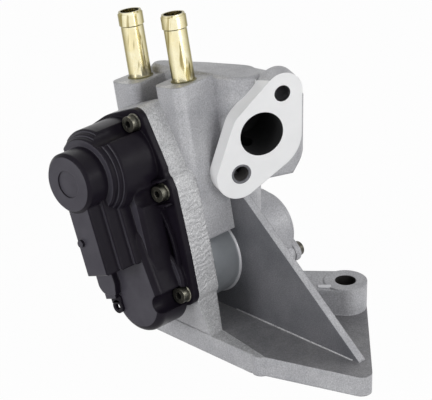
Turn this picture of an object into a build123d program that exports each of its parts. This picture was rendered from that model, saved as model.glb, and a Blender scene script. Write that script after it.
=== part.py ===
from build123d import *
import math
import os

# EGR valve: cast aluminium valve body on a triangular foot, black moulded actuator cover with
# a DC motor and spur gear train, helical end cam, poppet valve, two coolant tubes.
# Frame: millimetres, +Z up, X along the valve stem (actuator at -X), origin on the underside
# of the foot, straight below the point where the stem axis crosses the front of the web.

# ---- foot plate -------------------------------------------------------------------------
FOOT_T = 11.0               # thickness of the foot plate
STEM_Z = 39.3               # height of the stem axis above the underside of the foot
FOOT_FRONT_X = -30.5        # straight front edge, below the leg
FOOT_NOSE = (-6.0, -110.2)  # centre of the rounded right corner
FOOT_NOSE_R = 5.6
FOOT_KNEE = (-26.0, -60.2)  # half-round boss on the front edge
FOOT_KNEE_R = 4.8
LUG_POS = (42.0, -58.3)     # tall bolt lug behind the web
LUG_R = 11.6
LUG_H = 26.2
LUG_BORE_R = 5.6
ARM_POS = (14.0, -25.0)     # inner end of the arm that ties the lug to the valve body
ARM_R = 10.5
ARM_DROP = 0.5              # the arm's top lies this far under the lug's face
EAR_POS = (37.0, 32.0)      # second bolt ear, on the far side
EAR_R = 11.0
EAR_BORE_R = 5.6
FOOT_REAR_X = 47.0          # rear edge under the chamber
FOOT_FAR_Y = 29.0           # far edge under the leg

# ---- web and leg ------------------------------------------------------------------------
WEB_T = 4.8
WEB_TOE_Y = -103.5          # foot end of the slanted edge
WEB_PEAK = (-25.0, 77.6)    # top of the slanted edge (y, z)
LEG_BACK_X = -21.5
LEG_FOOT_HALF = 30.5        # half width at the foot
LEG_TOP_HALF = 22.0         # half width at the stem

# ---- actuator joint ---------------------------------------------------------------------
LEAN = 21.0                 # lean of the actuator centre line from vertical, degrees
JOINT_X = -35.5             # joint plane between housing and cover
FLANGE_T = 14.3             # thickness of the actuator flange
POCKET_DEPTH = 8.0          # gear pocket in the flange
SCREWS = ((15.4, 83.0), (22.2, 45.2), (16.4, -9.6),
          (-18.6, -9.6), (-22.2, 45.2), (-17.0, 77.5))   # (across, along) the centre line
SCREW_LOBE_R = 6.8
SHOULDER = (19.2, 12.0)     # shoulder of the outline between the lower two screws
FLANGE_TOP_R = 25.0         # outline round the motor
FLANGE_LOW_R = 15.6         # outline round the output gear
NOTCH_R = 5.0               # shallow scallops beside the middle screws

# ---- gear train -------------------------------------------------------------------------
MODULE = 0.75
PRESSURE = 25.0
ADDENDUM = 0.85             # in modules
DEDENDUM = 1.15
BACKLASH = 0.14
Z_MOTOR = 12
Z_BIG = 36
Z_SMALL = 20
Z_OUT = 46
FACE_W = 4.8                # face width of every gear
PLANE_GAP = 1.2             # axial gap between neighbouring gear planes
GEAR_CLEAR = 1.0            # tip to wall
OUT_X = -34.5               # inner face of the output gear
SECTOR_LOW = -13.0          # toothed sector, degrees from the centre line
SECTOR_HIGH = 93.0
HUB_R = 11.6                # plain rim of the output gear away from its teeth
BOSS_R = 7.4                # bearing boss of the output gear
SPINDLE_R = 4.0
PIN_R = 2.0                 # idler pins
RUN_FIT = 0.05              # radial running clearance
SWING = 80.0                # travel of the output gear, degrees

# ---- cam, follower and valve ------------------------------------------------------------
LIFT = 5.0
CAM_IN_R = 7.2
CAM_OUT_R = 10.4
CAM_LOW_X = -32.6           # low dwell of the cam
DWELL = 30.0                # high dwell, degrees
ROLLER_R = 2.6
ROLLER_W = 2.6
CROSS_PIN_R = 1.5
CROSS_PIN_HALF = 15.6
ROLLER_CLEAR = 0.12
STEM_R = 3.5
FOLLOWER_R = 5.8
FOLLOWER_DISC_R = 11.6
FOLLOWER_DISC_T = 2.0
SPRING_BORE_R = 13.0
COLLAR_R = 16.4             # slotted guide collar round the spring bore
COLLAR_H = 4.0
SPRING_SEAT_X = -6.0
SEAT_WASHER_T = 1.0
SPRING_R = 8.6
SPRING_WIRE_R = 0.9
SPRING_TURNS = 4.0
SPRING_WIRE_SIDES = 8       # flats that stand for the round wire
BUSH_R = 6.0
BUSH_END_X = 5.0
SEAL_R = 7.5
SEAL_T = 3.0
SEAT_X = (19.5, 24.5)       # seat ring
SEAT_OUT_R = 14.5
SEAT_BORE_R = 10.5
SEAT_CHAMFER = 1.8
VALVE_GAP = 0.3
HEAD_R = 12.0

# ---- neck, chamber and gas ways ---------------------------------------------------------
NECK_R = 21.5
CHAMBER_R = 22.6
CHAMBER_END_X = 40.2
CHAMBER_BORE_R = 16.5
CAP_T = 4.0
CAP_R = 19.0
CAP_GASKET_T = 0.8
CAP_SCREW_R = 21.4          # pitch radius of the rear cap screws
CAP_SCREW_PHI = (208.0, 328.0, 46.0)
CAP_EAR_R = 5.6
CAP_BOSS_LEN = 15.0
INLET_X = 32.2
INLET_R = 7.4
RISER = (12.4, -5.5)        # centre of the upright gas way (x, y)
RISER_WAY = (13.0, 22.0)    # rounded rectangular gas way, along X and Y
RISER_WALL = 4.4
RISER_TOP = 100.6           # top of the riser above the stem axis
RISER_SLOPE = (0.13, 0.115, 1.0)  # normal of its top, which falls away from the flange
RISER_EDGE = 1.6
RISER_FOOT = 52.0           # the tail behind the jacket starts at this height
RISER_TAIL = (4.2, 37.0)    # far end of the top, behind the far block (x, y)
RISER_TAIL_R = 6.5

# ---- gas flange -------------------------------------------------------------------------
GAS_TURN = 24.0             # turn of the flange normal from -Y towards -X, degrees
GAS_FACE = (8.0, -29.4, 113.6)   # centre of the machined face
GAS_T = 10.0
GAS_PORT_R = 11.9
GAS_BOLT_R = 4.4
GAS_BOLT_SPACING = 47.0
GAS_BOLT_ANGLE = 61.0       # bolt line above the horizontal
GAS_LOW_R = 12.6            # round end at the lower bolt
GAS_HIGH_R = 10.6           # round end at the upper bolt
GAS_BELLY = (3.0, -3.0)     # centre of the wide middle (across, up)
GAS_MID_R = 19.5
GAS_NECK_R = 16.0
GAS_NECK_LEN = 24.0
SHOULDER_LOW = 44.0         # underside of the shoulder behind the flange, over the stem
SHOULDER_TIP = (36.8, -26.8)     # its rounded corner (x, y)
SHOULDER_CUT = (8.5, 15.0)  # sloped lower corner (along X, up)
SHOULDER_TIP_R = 4.0

# ---- rolled upper body and coolant tubes ------------------------------------------------
ROLL = 11.4                 # roll of the water jacket about the stem, degrees
TUBE_X = -10.0
TUBE_W = (-11.4, 20.8)      # places of the tubes across the jacket
BLOCK_TOP = 98.7            # top faces above the stem axis
BLOCK_HALF = 9.6
BLOCK_ROUND = 5.5
BLOCK_FRONT_X = -24.0
BLOCK_REAR_X = 9.0
BLOCK_ROOT = 82.0           # floor of the gap between the two blocks
JACKET_FLOOR = 16.0
TUBE_R = 6.0
TUBE_WALL = 1.1
TUBE_OUT = 35.4             # length above the block
TUBE_IN = 12.0              # length pressed into the block
BARREL_R = 6.6
BARREL_LEN = 7.8            # from the open end to the foot of the barrel
BARREL_NOSE = 0.6
COOLANT_CROSS = 72.0        # height of the cross drilling

# ---- cover ------------------------------------------------------------------------------
RIM_T = 3.6
WALL = 2.3
SEAL_GROOVE = 1.4
SEAL_W = 1.7
SEAL_OFFSET = 1.0
BUMP_R = 16.0
BUMP_FRONT = 44.0           # ahead of the joint plane
DIMPLE_R = 7.2              # shallow recess in the bump
DIMPLE_T = 0.8
RING_STEPS = ((23.4, 26.0), (21.8, 28.2), (20.2, 31.0))   # (radius, front) of the bump collar
PLATE_STEPS = ((8.0, 42.4), (10.2, 34.0), (12.4, 26.0))   # (half width, front) of the spine
SPINE_LOW = 14.0
DOME_S = -6.4
DOME_R = 17.8
DOME_FRONT = 22.2           # ahead of the joint plane
DOME_ROUND = 4.0
BOX_FRONT = 19.2            # front of the main cover box ahead of the joint plane
MOTOR_R = 13.4
MOTOR_CLEAR = 0.5
SCREW_R = 2.4
SCREW_HEAD_R = 4.2
SCREW_HEAD_H = 4.6
SCREW_LEN = 13.0
HOLE_CLEAR = 0.2
SOCKET_E = -16.4            # centre of the connector across the centre line
SOCKET_HALF = 5.8           # half width of the connector block
SOCKET_X = (-61.6, -44.0)   # front and back of the connector block
SOCKET_LOW = -2.0           # lower end of the block, along the centre line
SOCKET_ROUND = 6.5          # lower outer corner of the block
SOCKET_TOP = 22.0
MOUTH_HALF = 3.9            # half width of the socket sleeve below the block
MOUTH_X = (-60.8, -47.2)    # front and back of the sleeve
MOUTH_LOW = -4.2            # open end of the sleeve
MOUTH_WALL = 1.3
MOUTH_FLOOR = 8.0           # inner end of the socket
NUB = (-4.4, 32.0)          # locating nub on the spine (across, along)
NUB_R = 2.0
NUB_T = 1.5
TERMINALS = 5
TERMINAL_PITCH = 1.8
TERMINAL = (0.9, 0.8)       # width along X and thickness across
BLADE_ROOT = 3.0            # length of a terminal held in the cover
PLUG_R = 7.0                # core plug of the cross drilling
PLUG_T = 3.0
CAM_START = 0.0             # angle of the cross pin from +Y, degrees
SPRING_END_GAP = 0.25
CAP_BOLT_R = 2.4
CAP_HEAD_R = 4.0
CAP_HEAD_H = 4.0
MAGNET_R = 10.4             # sensor magnet round the output boss
BOARD_T = 1.4
SNAP_RING_T = 1.1
WAVE_T = 0.8


# ---- frames and small helpers -----------------------------------------------------------
def stem_plane(x):
    """Plane across the stem at x, with local axes Y and Z of the part."""
    return Plane(origin=(x, 0, STEM_Z), x_dir=(0, 1, 0), z_dir=(1, 0, 0))


def slab(sketch, x0, x1):
    """Extrude a (y, height over stem) sketch from x0 to x1."""
    return extrude(stem_plane(x0) * sketch, x1 - x0)


def act_plane(x):
    """Plane of the actuator: local X across its centre line, local Y along it, facing -X."""
    lean = math.radians(LEAN)
    across = (0, -math.cos(lean), math.sin(lean))
    return Plane(origin=(x, 0, STEM_Z), x_dir=across, z_dir=(-1, 0, 0))


def act_slab(sketch, x0, x1):
    """Extrude an (across, along) sketch from x0 forward to x1, with x1 below x0."""
    return extrude(act_plane(x0) * sketch, x0 - x1)


def body_plane(t):
    """Plane of the rolled upper body at height t over the stem axis."""
    roll = math.radians(ROLL)
    up = (0, math.sin(roll), math.cos(roll))
    origin = (0, t * math.sin(roll), STEM_Z + t * math.cos(roll))
    return Plane(origin=origin, x_dir=(1, 0, 0), z_dir=up)


def body_slab(sketch, t0, t1):
    """Extrude an (x, across) sketch of the rolled body from height t0 to t1."""
    return extrude(body_plane(t0) * sketch, t1 - t0)


def disc(x, y, r):
    return Pos(x, y) * Circle(r)


def hull(circles):
    """Convex outline round circles given as (x, y, radius)."""
    edges = []
    for x, y, r in circles:
        edges += disc(x, y, r).edges()
    return make_hull(edges)


def ring_x(r_out, r_in, x0, x1):
    """Ring about the stem axis, or a plain cylinder where r_in is 0."""
    sketch = Circle(r_out)
    if r_in:
        sketch -= Circle(r_in)
    return slab(sketch, min(x0, x1), max(x0, x1))


def along(parts):
    """Fuse a list of solids into one."""
    total = parts[0]
    for item in parts[1:]:
        total = total + item
    return total


# ---- gear geometry ----------------------------------------------------------------------
OUT_S = 0.0
IDLER_2_S = OUT_S + MODULE * (Z_OUT + Z_SMALL) / 2
IDLER_1_S = IDLER_2_S + MODULE * (Z_BIG + Z_SMALL) / 2
MOTOR_S = IDLER_1_S + MODULE * (Z_BIG + Z_MOTOR) / 2
PLANE_C = (OUT_X, OUT_X - FACE_W)
PLANE_B = (PLANE_C[1] - PLANE_GAP, PLANE_C[1] - PLANE_GAP - FACE_W)
PLANE_A = (PLANE_B[1] - PLANE_GAP, PLANE_B[1] - PLANE_GAP - FACE_W)
FLOOR_X = JOINT_X + POCKET_DEPTH
CAVITY_FRONT_X = PLANE_A[1] - GEAR_CLEAR * 0.8
SECTOR_FRONT = JOINT_X - PLANE_C[1] + GEAR_CLEAR * 0.8
PIN_SEAT = 1.6              # depth of the pin seats in the cover


def tip_radius(teeth):
    return MODULE * (teeth / 2 + ADDENDUM)


def involute_half_angle(teeth, radius):
    """Half the angle that a tooth fills at this radius, in radians."""
    pitch = MODULE * teeth / 2
    base = pitch * math.cos(math.radians(PRESSURE))
    at_pitch = math.tan(math.radians(PRESSURE)) - math.radians(PRESSURE)
    roll = math.acos(min(1.0, base / radius))
    half = math.pi / (2 * teeth) - BACKLASH / (4 * pitch)
    return half + at_pitch - (math.tan(roll) - roll)


def tooth_points(teeth, centre):
    """Outline of one tooth from root to root, centred on an angle in radians."""
    pitch = MODULE * teeth / 2
    base = pitch * math.cos(math.radians(PRESSURE))
    root = pitch - DEDENDUM * MODULE
    tip = tip_radius(teeth)
    low = max(base, root)
    flank = [low + (tip - low) * k / 2 for k in range(3)]
    points = [(root, involute_half_angle(teeth, low))]
    points += [(r, involute_half_angle(teeth, r)) for r in flank if r > root + 0.05]
    polar = [(r, centre - a) for r, a in points] + [(r, centre + a) for r, a in reversed(points)]
    return [(r * math.cos(a), r * math.sin(a)) for r, a in polar]


def full_gear(teeth, first):
    """Sketch of a whole spur gear with a tooth centred on the angle first, in radians."""
    outline = []
    for k in range(teeth):
        outline += tooth_points(teeth, first + 2 * math.pi * k / teeth)
    return make_face(Polyline(*outline, close=True))


def sector_gear(teeth, first, low, high):
    """Sketch of a gear with teeth only between two angles in degrees from the centre line."""
    outline = []
    step = 2 * math.pi / teeth
    for k in range(teeth):
        swung = math.degrees(math.remainder(first + step * k - math.pi / 2, 2 * math.pi))
        if low <= swung <= high:
            outline.append((swung, tooth_points(teeth, math.pi / 2 + math.radians(swung))))
    outline.sort(key=lambda item: item[0])
    points = [point for _, tooth in outline for point in tooth]
    toothed = make_face(Polyline((0, 0), *points, close=True))
    return toothed + Circle(HUB_R)


def mesh_phase(teeth, towards, has_tooth):
    """Angle of the first tooth so that a tooth, or else a gap, points along towards."""
    return towards + (0 if has_tooth else math.pi / teeth)


UP = math.pi / 2
DOWN = -math.pi / 2


def output_gear():
    gear = sector_gear(Z_OUT, mesh_phase(Z_OUT, UP, True), SECTOR_LOW, SECTOR_HIGH)
    body = act_slab(gear, *PLANE_C)
    body += ring_x(BOSS_R, 0, PLANE_B[1], PLANE_C[1])
    body += ring_x(CAM_OUT_R, CAM_IN_R, PLANE_C[0], CAM_LOW_X)
    for turn in (0.0, 180.0):
        body += cam_ramp(CAM_START + turn)
    body -= ring_x(SPINDLE_R + RUN_FIT, 0, PLANE_B[1] - 1, PLANE_C[0] - 1.2)
    return body


def sector_sketch(r_out, r_in, start, angle):
    """Ring sector that starts at an angle, in degrees, turning towards positive angles."""
    arc_out = CenterArc((0, 0), r_out, start, angle)
    arc_in = CenterArc((0, 0), r_in, start, angle)
    side_a = Line(arc_out @ 0, arc_in @ 0)
    side_b = Line(arc_out @ 1, arc_in @ 1)
    return make_face(Curve() + [arc_out, side_b, arc_in, side_a])


def cam_ramp(start):
    """Helical ramp of the end cam: it falls from its high dwell to nothing at the start angle."""
    keep = sector_sketch(CAM_OUT_R, CAM_IN_R, start - SWING - DWELL, SWING + DWELL)
    column = slab(keep, CAM_LOW_X, CAM_LOW_X + LIFT)
    per_mm = SWING / LIFT
    wide = sector_sketch(CAM_OUT_R + 1, CAM_IN_R - 1, start + per_mm - 210, 210)
    twisted = Solid.extrude_linear_with_rotation(
        (stem_plane(CAM_LOW_X - 1) * wide).face(), (CAM_LOW_X - 1, 0, STEM_Z), (LIFT + 2, 0, 0),
        -per_mm * (LIFT + 2))
    return column & twisted


def idler(s, big_plane, small_plane):
    """Compound gear: the big wheel is driven, the small one drives on."""
    big = full_gear(Z_BIG, mesh_phase(Z_BIG, UP, True))
    small = full_gear(Z_SMALL, mesh_phase(Z_SMALL, DOWN, False))
    sleeve = Circle(MODULE * Z_SMALL / 2 - DEDENDUM * MODULE - 0.3)
    body = act_slab(Pos(0, s) * big, *big_plane)
    body += act_slab(Pos(0, s) * small, *small_plane)
    body += act_slab(Pos(0, s) * sleeve, small_plane[0], big_plane[0])
    body -= act_slab(disc(0, s, PIN_R + RUN_FIT), small_plane[0] + 1, big_plane[1] - 1)
    return body


def idler_pins():
    """Steel pins of the two idlers, seated in the housing floor and in the cover."""
    pins = []
    for s in (IDLER_1_S, IDLER_2_S):
        pins.append(act_slab(disc(0, s, PIN_R), FLOOR_X + 4.0, CAVITY_FRONT_X - PIN_SEAT))
    return Compound(children=pins)


def motor_pinion():
    pinion = full_gear(Z_MOTOR, mesh_phase(Z_MOTOR, DOWN, False))
    return act_slab(Pos(0, MOTOR_S) * (pinion - Circle(SHAFT_R)), *PLANE_A)


# ---- motor ------------------------------------------------------------------------------
SHAFT_R = 1.5
MOTOR_FRONT_X = JOINT_X - BUMP_FRONT + WALL + WAVE_T
MOTOR_BACK_X = CAVITY_FRONT_X - 1.5
CAN_WALL = 1.2
MAGNET_T = 2.6
ARMATURE_R = 8.6
END_PLATE_T = 1.2


def at_motor(sketch, x0, x1):
    return act_slab(Pos(0, MOTOR_S) * sketch, x0, x1)


def motor_can():
    can = at_motor(Circle(MOTOR_R), MOTOR_BACK_X - END_PLATE_T, MOTOR_FRONT_X)
    can -= at_motor(Circle(MOTOR_R - CAN_WALL), MOTOR_BACK_X - END_PLATE_T, MOTOR_FRONT_X + CAN_WALL)
    return can


def motor_end_plate():
    plate = at_motor(Circle(MOTOR_R), MOTOR_BACK_X, MOTOR_BACK_X - END_PLATE_T)
    return plate - at_motor(Circle(SHAFT_R + 0.3), MOTOR_BACK_X + 1, MOTOR_BACK_X - END_PLATE_T - 1)


def motor_magnets():
    """Two arc magnets on the wall of the can."""
    ring = Circle(MOTOR_R - CAN_WALL) - Circle(MOTOR_R - CAN_WALL - MAGNET_T)
    slot = Rectangle(6, 2 * MOTOR_R)
    length = at_motor(ring - slot, MOTOR_BACK_X - END_PLATE_T - 5, MOTOR_FRONT_X + CAN_WALL + 1)
    return length


def motor_armature():
    """Slotted lamination stack with its windings as one body."""
    core = Circle(ARMATURE_R)
    for angle in (0, 120, 240):
        core -= Rot(0, 0, angle) * Pos(0, ARMATURE_R - 1.5) * SlotOverall(4.0, 1.4, rotation=90)
    core -= Circle(SHAFT_R)
    return at_motor(core, MOTOR_BACK_X - END_PLATE_T - 6, MOTOR_FRONT_X + CAN_WALL + 2)


def motor_commutator():
    return at_motor(Circle(3.2) - Circle(SHAFT_R), MOTOR_BACK_X - END_PLATE_T - 2,
                    MOTOR_BACK_X - END_PLATE_T - 5.6)


def motor_shaft():
    return at_motor(Circle(SHAFT_R), PLANE_A[0], MOTOR_FRONT_X + CAN_WALL + 0.3)


def motor_brushes():
    """Two carbon brushes beside the commutator."""
    brushes = []
    for side in (-1, 1):
        block = Pos(side * 6.4, 0) * Rectangle(6.0, 2.4)
        brushes.append(at_motor(block, MOTOR_BACK_X - END_PLATE_T - 2.6, MOTOR_BACK_X - END_PLATE_T - 5))
    return Compound(children=brushes)


# ---- valve ------------------------------------------------------------------------------
PIN_AXIS_X = CAM_LOW_X + (ROLLER_R + ROLLER_CLEAR) / math.cos(math.atan(
    LIFT / math.radians(SWING) / (CAM_IN_R + 0.3)))
DISC_X = PIN_AXIS_X + ROLLER_R + 0.25
STEM_TAIL_X = PIN_AXIS_X - 2.2


def revolved(profile):
    """Turn an (x, radius) outline about the stem axis."""
    plane = Plane(origin=(0, 0, STEM_Z), x_dir=(1, 0, 0), z_dir=(0, -1, 0))
    return revolve(plane * make_face(Polyline(*profile, close=True)), Axis((0, 0, STEM_Z), (1, 0, 0)))


def poppet_valve():
    """Stem and head turned as one; the head closes on the rear side of the seat."""
    back = SEAT_X[1] + VALVE_GAP
    rim = SEAT_BORE_R + SEAT_CHAMFER
    nose = back - SEAT_CHAMFER - 0.4
    valve = revolved([(STEM_TAIL_X, 0), (STEM_TAIL_X, STEM_R), (back - 8, STEM_R),
                      (back - 4.5, STEM_R + 1.2), (nose, rim - SEAT_CHAMFER - 0.4), (back, rim),
                      (back + 1.4, rim), (back + 2.4, rim - 2.5), (back + 2.4, 0)])
    return valve - cross_bore(CROSS_PIN_R)


def cross_bore(radius, half=CROSS_PIN_HALF):
    """Cylinder along the follower's cross pin."""
    plane = Plane(origin=(PIN_AXIS_X, 0, STEM_Z), x_dir=(1, 0, 0), z_dir=pin_direction())
    return extrude(plane * Circle(radius), half, both=True)


def pin_direction():
    """The cross pin lies across the two cam ramps where they start."""
    start = math.radians(CAM_START)
    return (0, math.cos(start), math.sin(start))


def cam_follower():
    """Crosshead on the stem: hub round the cross pin and the disc that carries the spring."""
    body = ring_x(FOLLOWER_R, STEM_R, STEM_TAIL_X, DISC_X)
    body += ring_x(FOLLOWER_DISC_R, STEM_R, DISC_X, DISC_X + FOLLOWER_DISC_T)
    body += ring_x(SPRING_R - SPRING_WIRE_R - 0.4, STEM_R, DISC_X, DISC_X + FOLLOWER_DISC_T + 1.4)
    return body - cross_bore(CROSS_PIN_R)


def cross_pin():
    return cross_bore(CROSS_PIN_R)


def cam_roller(side):
    """Roller on one end of the cross pin."""
    out = pin_direction()
    start = CAM_IN_R + (CAM_OUT_R - CAM_IN_R - ROLLER_W) / 2
    origin = (PIN_AXIS_X, side * out[1] * start, STEM_Z + side * out[2] * start)
    plane = Plane(origin=origin, x_dir=(1, 0, 0), z_dir=tuple(side * c for c in out))
    return extrude(plane * (Circle(ROLLER_R) - Circle(CROSS_PIN_R + RUN_FIT)), ROLLER_W)


def return_spring():
    """Compression spring between the seat washer and the follower disc, ends closed flat."""
    low = DISC_X + FOLLOWER_DISC_T + SPRING_WIRE_R + SPRING_END_GAP
    high = SPRING_SEAT_X - SEAT_WASHER_T - SPRING_WIRE_R - SPRING_END_GAP
    span = high - low
    helix = Helix(span / SPRING_TURNS, span, SPRING_R, center=(low, 0, STEM_Z), direction=(1, 0, 0))
    start = Plane(origin=helix @ 0, z_dir=helix % 0)
    return sweep(start * RegularPolygon(SPRING_WIRE_R, SPRING_WIRE_SIDES), helix)


def seat_washer():
    return ring_x(SPRING_BORE_R - 0.4, STEM_R + 0.5, SPRING_SEAT_X - SEAT_WASHER_T, SPRING_SEAT_X)


def stem_bush():
    """Sintered guide bush pressed into the neck behind the seal."""
    return ring_x(BUSH_R, STEM_R + RUN_FIT, SPRING_SEAT_X + SEAL_T, BUSH_END_X)


def stem_seal():
    """Lip seal held down by the spring washer."""
    return ring_x(SEAL_R, STEM_R + RUN_FIT, SPRING_SEAT_X, SPRING_SEAT_X + SEAL_T)


def seat_ring():
    rim = SEAT_BORE_R + SEAT_CHAMFER
    x0, x1 = SEAT_X
    return revolved([(x0, SEAT_BORE_R), (x1 - SEAT_CHAMFER, SEAT_BORE_R), (x1, rim),
                     (x1, SEAT_OUT_R), (x0, SEAT_OUT_R)])


# ---- actuator outline and cavities ------------------------------------------------------
def flange_outline():
    """Joint outline: lobes round the screws, a round top over the motor, shallow scallops."""
    lobes = [(e, s, SCREW_LOBE_R) for e, s in SCREWS]
    lobes += [(side * SHOULDER[0], SHOULDER[1], SCREW_LOBE_R) for side in (-1, 1)]
    outline = hull(lobes + [(0, MOTOR_S, FLANGE_TOP_R), (0, OUT_S, FLANGE_LOW_R)])
    for e, s in SCREWS:
        side = math.copysign(1, e)
        if 0 < s < 60:
            outline -= disc(e + side * (SCREW_LOBE_R + NOTCH_R - 2.4), s + SCREW_LOBE_R + 2.6, NOTCH_R)
    return outline


def gear_room():
    """Room for the idlers, the motor and the boss of the output gear."""
    big = tip_radius(Z_BIG) + GEAR_CLEAR
    room = hull([(0, IDLER_2_S, big), (0, IDLER_1_S, big), (0, MOTOR_S, MOTOR_R + MOTOR_CLEAR + 0.6)])
    return room + Circle(HUB_R + GEAR_CLEAR)


def sector_room():
    """Room that the toothed sector of the output gear sweeps."""
    swept = math.radians(SECTOR_HIGH + 3)
    reach = tip_radius(Z_OUT) + GEAR_CLEAR
    arc = CenterArc((0, 0), reach, 90 - math.degrees(swept), math.degrees(2 * swept))
    return make_face(Curve() + [arc, Line(arc @ 1, (0, 0)), Line((0, 0), arc @ 0)])


def gear_cavity():
    return gear_room() + sector_room()


def screw_holes(radius, x0, x1):
    return along([act_slab(disc(e, s, radius), x0, x1) for e, s in SCREWS])


def seal_band(width, offset_by):
    """Band of the cover seal round the gear cavity."""
    cavity = gear_cavity()
    outer = offset(cavity, offset_by + width, kind=Kind.ARC)
    return outer - offset(cavity, offset_by, kind=Kind.ARC)


def cover_seal():
    return act_slab(seal_band(SEAL_W, SEAL_OFFSET), JOINT_X, JOINT_X - SEAL_GROOVE)


def cover_screws():
    """Socket head screws of the cover."""
    screws = []
    for e, s in SCREWS:
        seat = JOINT_X - RIM_T
        shank = act_slab(disc(e, s, SCREW_R), seat + SCREW_LEN, seat)
        head = act_slab(disc(e, s, SCREW_HEAD_R), seat, seat - SCREW_HEAD_H)
        socket = act_slab(Pos(e, s) * RegularPolygon(2.0, 6), seat - 2.0, seat - SCREW_HEAD_H)
        screws.append(shank + head - socket)
    return Compound(children=screws)


# ---- housing ----------------------------------------------------------------------------
def upright(sketch, z0, z1):
    return extrude(Plane.XY.offset(z0) * sketch, z1 - z0)


def foot_outline():
    """Plan of the foot: straight front, rounded toe, tangent run to the lug and the ear."""
    outline = hull([(FOOT_FRONT_X + 2, FOOT_FAR_Y - 2, 2), (FOOT_FRONT_X + 2, FOOT_KNEE[1] + 4, 2),
                    (*FOOT_KNEE, 1.6), (*FOOT_NOSE, FOOT_NOSE_R), (*LUG_POS, LUG_R),
                    (FOOT_REAR_X - 3, -20, 3), (FOOT_REAR_X - 3, EAR_POS[1] - 12, 3), (*EAR_POS, EAR_R)])
    return outline + disc(*FOOT_KNEE, FOOT_KNEE_R)


def foot():
    body = upright(foot_outline(), 0, FOOT_T)
    body += upright(disc(*LUG_POS, LUG_R), 0, LUG_H)
    body += upright(hull([(*LUG_POS, LUG_R - 0.3), (*ARM_POS, ARM_R)]), 0, LUG_H - ARM_DROP)
    body += upright(disc(*EAR_POS, EAR_R), 0, FOOT_T + 3)
    body -= upright(disc(*LUG_POS, LUG_BORE_R), -1, LUG_H + 1)
    return body - upright(disc(*EAR_POS, EAR_BORE_R), -1, LUG_H + 1)


def web():
    """Upright triangular web in line with the front of the valve chamber."""
    profile = Polyline((NECK_R, FOOT_T - 2), (WEB_TOE_Y, FOOT_T - 2), (WEB_TOE_Y, FOOT_T + 0.6),
                       WEB_PEAK, (WEB_PEAK[0] + 14, WEB_PEAK[1] + 6), (NECK_R, STEM_Z), close=True)
    return extrude(Plane(origin=(0, 0, 0), x_dir=(0, 1, 0), z_dir=(1, 0, 0)) * make_face(profile), WEB_T)


def leg():
    """Leg under the actuator flange, its front sloping back to the foot."""
    low = FOOT_T - 4
    side = Polyline((FOOT_FRONT_X + 1.6, low), (JOINT_X, STEM_Z - 10), (JOINT_X, STEM_Z + 12),
                    (LEG_BACK_X, STEM_Z + 12), (LEG_BACK_X, low), close=True)
    slice_y = Plane(origin=(0, -60, 0), x_dir=(1, 0, 0), z_dir=(0, -1, 0))
    slope = extrude(slice_y * make_face(side), -120)
    front = Polyline((-LEG_FOOT_HALF, 0), (-LEG_TOP_HALF, STEM_Z + 6), (LEG_TOP_HALF - 8, STEM_Z + 14),
                     (LEG_FOOT_HALF - 4, 0), close=True)
    shape = extrude(Plane(origin=(JOINT_X - 1, 0, 0), x_dir=(0, 1, 0), z_dir=(1, 0, 0)) * make_face(front), 30)
    return slope & shape


def jacket():
    """Water jacket: right flank straight down to the neck, far side tapering to it."""
    near = TUBE_W[0] - BLOCK_HALF
    far = TUBE_W[1] + BLOCK_HALF
    length = BLOCK_REAR_X - BLOCK_FRONT_X
    middle = BLOCK_FRONT_X + length / 2
    plan = Pos(middle, (near + far) / 2) * RectangleRounded(length, far - near, BLOCK_ROUND)
    body = body_slab(plan, JACKET_FLOOR, BLOCK_ROOT)
    roll = math.radians(ROLL)
    side = Plane(origin=(BLOCK_FRONT_X - 1, 0, STEM_Z), x_dir=(0, math.cos(roll), -math.sin(roll)),
                 z_dir=(1, 0, 0))
    taper = Polyline((NECK_R - 4, JACKET_FLOOR - 1), (far + 0.1, 60), (far + 10, 60),
                     (far + 10, JACKET_FLOOR - 1), close=True)
    body -= extrude(side * make_face(taper), length + 2)
    for w in TUBE_W:
        block = Pos(middle, w) * RectangleRounded(length, 2 * BLOCK_HALF, BLOCK_ROUND)
        body += body_slab(block, BLOCK_ROOT - 1, BLOCK_TOP)
    return body


def gas_plane(depth=0.0):
    """Plane of the gas flange face, facing out of the port, moved inwards by depth."""
    turn = math.radians(GAS_TURN)
    normal = Vector(-math.sin(turn), -math.cos(turn), 0)
    origin = Vector(*GAS_FACE) - normal * depth
    return Plane(origin=origin, x_dir=(math.cos(turn), -math.sin(turn), 0), z_dir=normal)


def gas_bolts():
    angle = math.radians(GAS_BOLT_ANGLE)
    half = GAS_BOLT_SPACING / 2
    return [(side * half * math.cos(angle), side * half * math.sin(angle)) for side in (-1, 1)]


def gas_flange():
    """Two-bolt flange with its neck into the riser."""
    low, high = gas_bolts()
    plate = hull([(low[0] - 1, low[1] - 1, GAS_LOW_R), (high[0] + 0.6, high[1] + 0.6, GAS_HIGH_R),
                  (0, 0, GAS_NECK_R + 1.4), (*GAS_BELLY, GAS_MID_R)])
    body = extrude(gas_plane(0) * plate, -GAS_T)
    foot_end = (low[0] * 0.4, low[1] * 0.5, GAS_NECK_R - 6)
    near = hull([(0, 0, GAS_NECK_R), (high[0] - 1, high[1] - 1, GAS_HIGH_R - 1.5), foot_end])
    far = hull([(0, 0, GAS_NECK_R), (high[0] - 6, high[1] - 6, GAS_HIGH_R - 1.5), foot_end])
    neck = loft([gas_plane(GAS_T - 1) * near, gas_plane(GAS_T - 1 + GAS_NECK_LEN) * far], ruled=True)
    return body + neck


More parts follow.
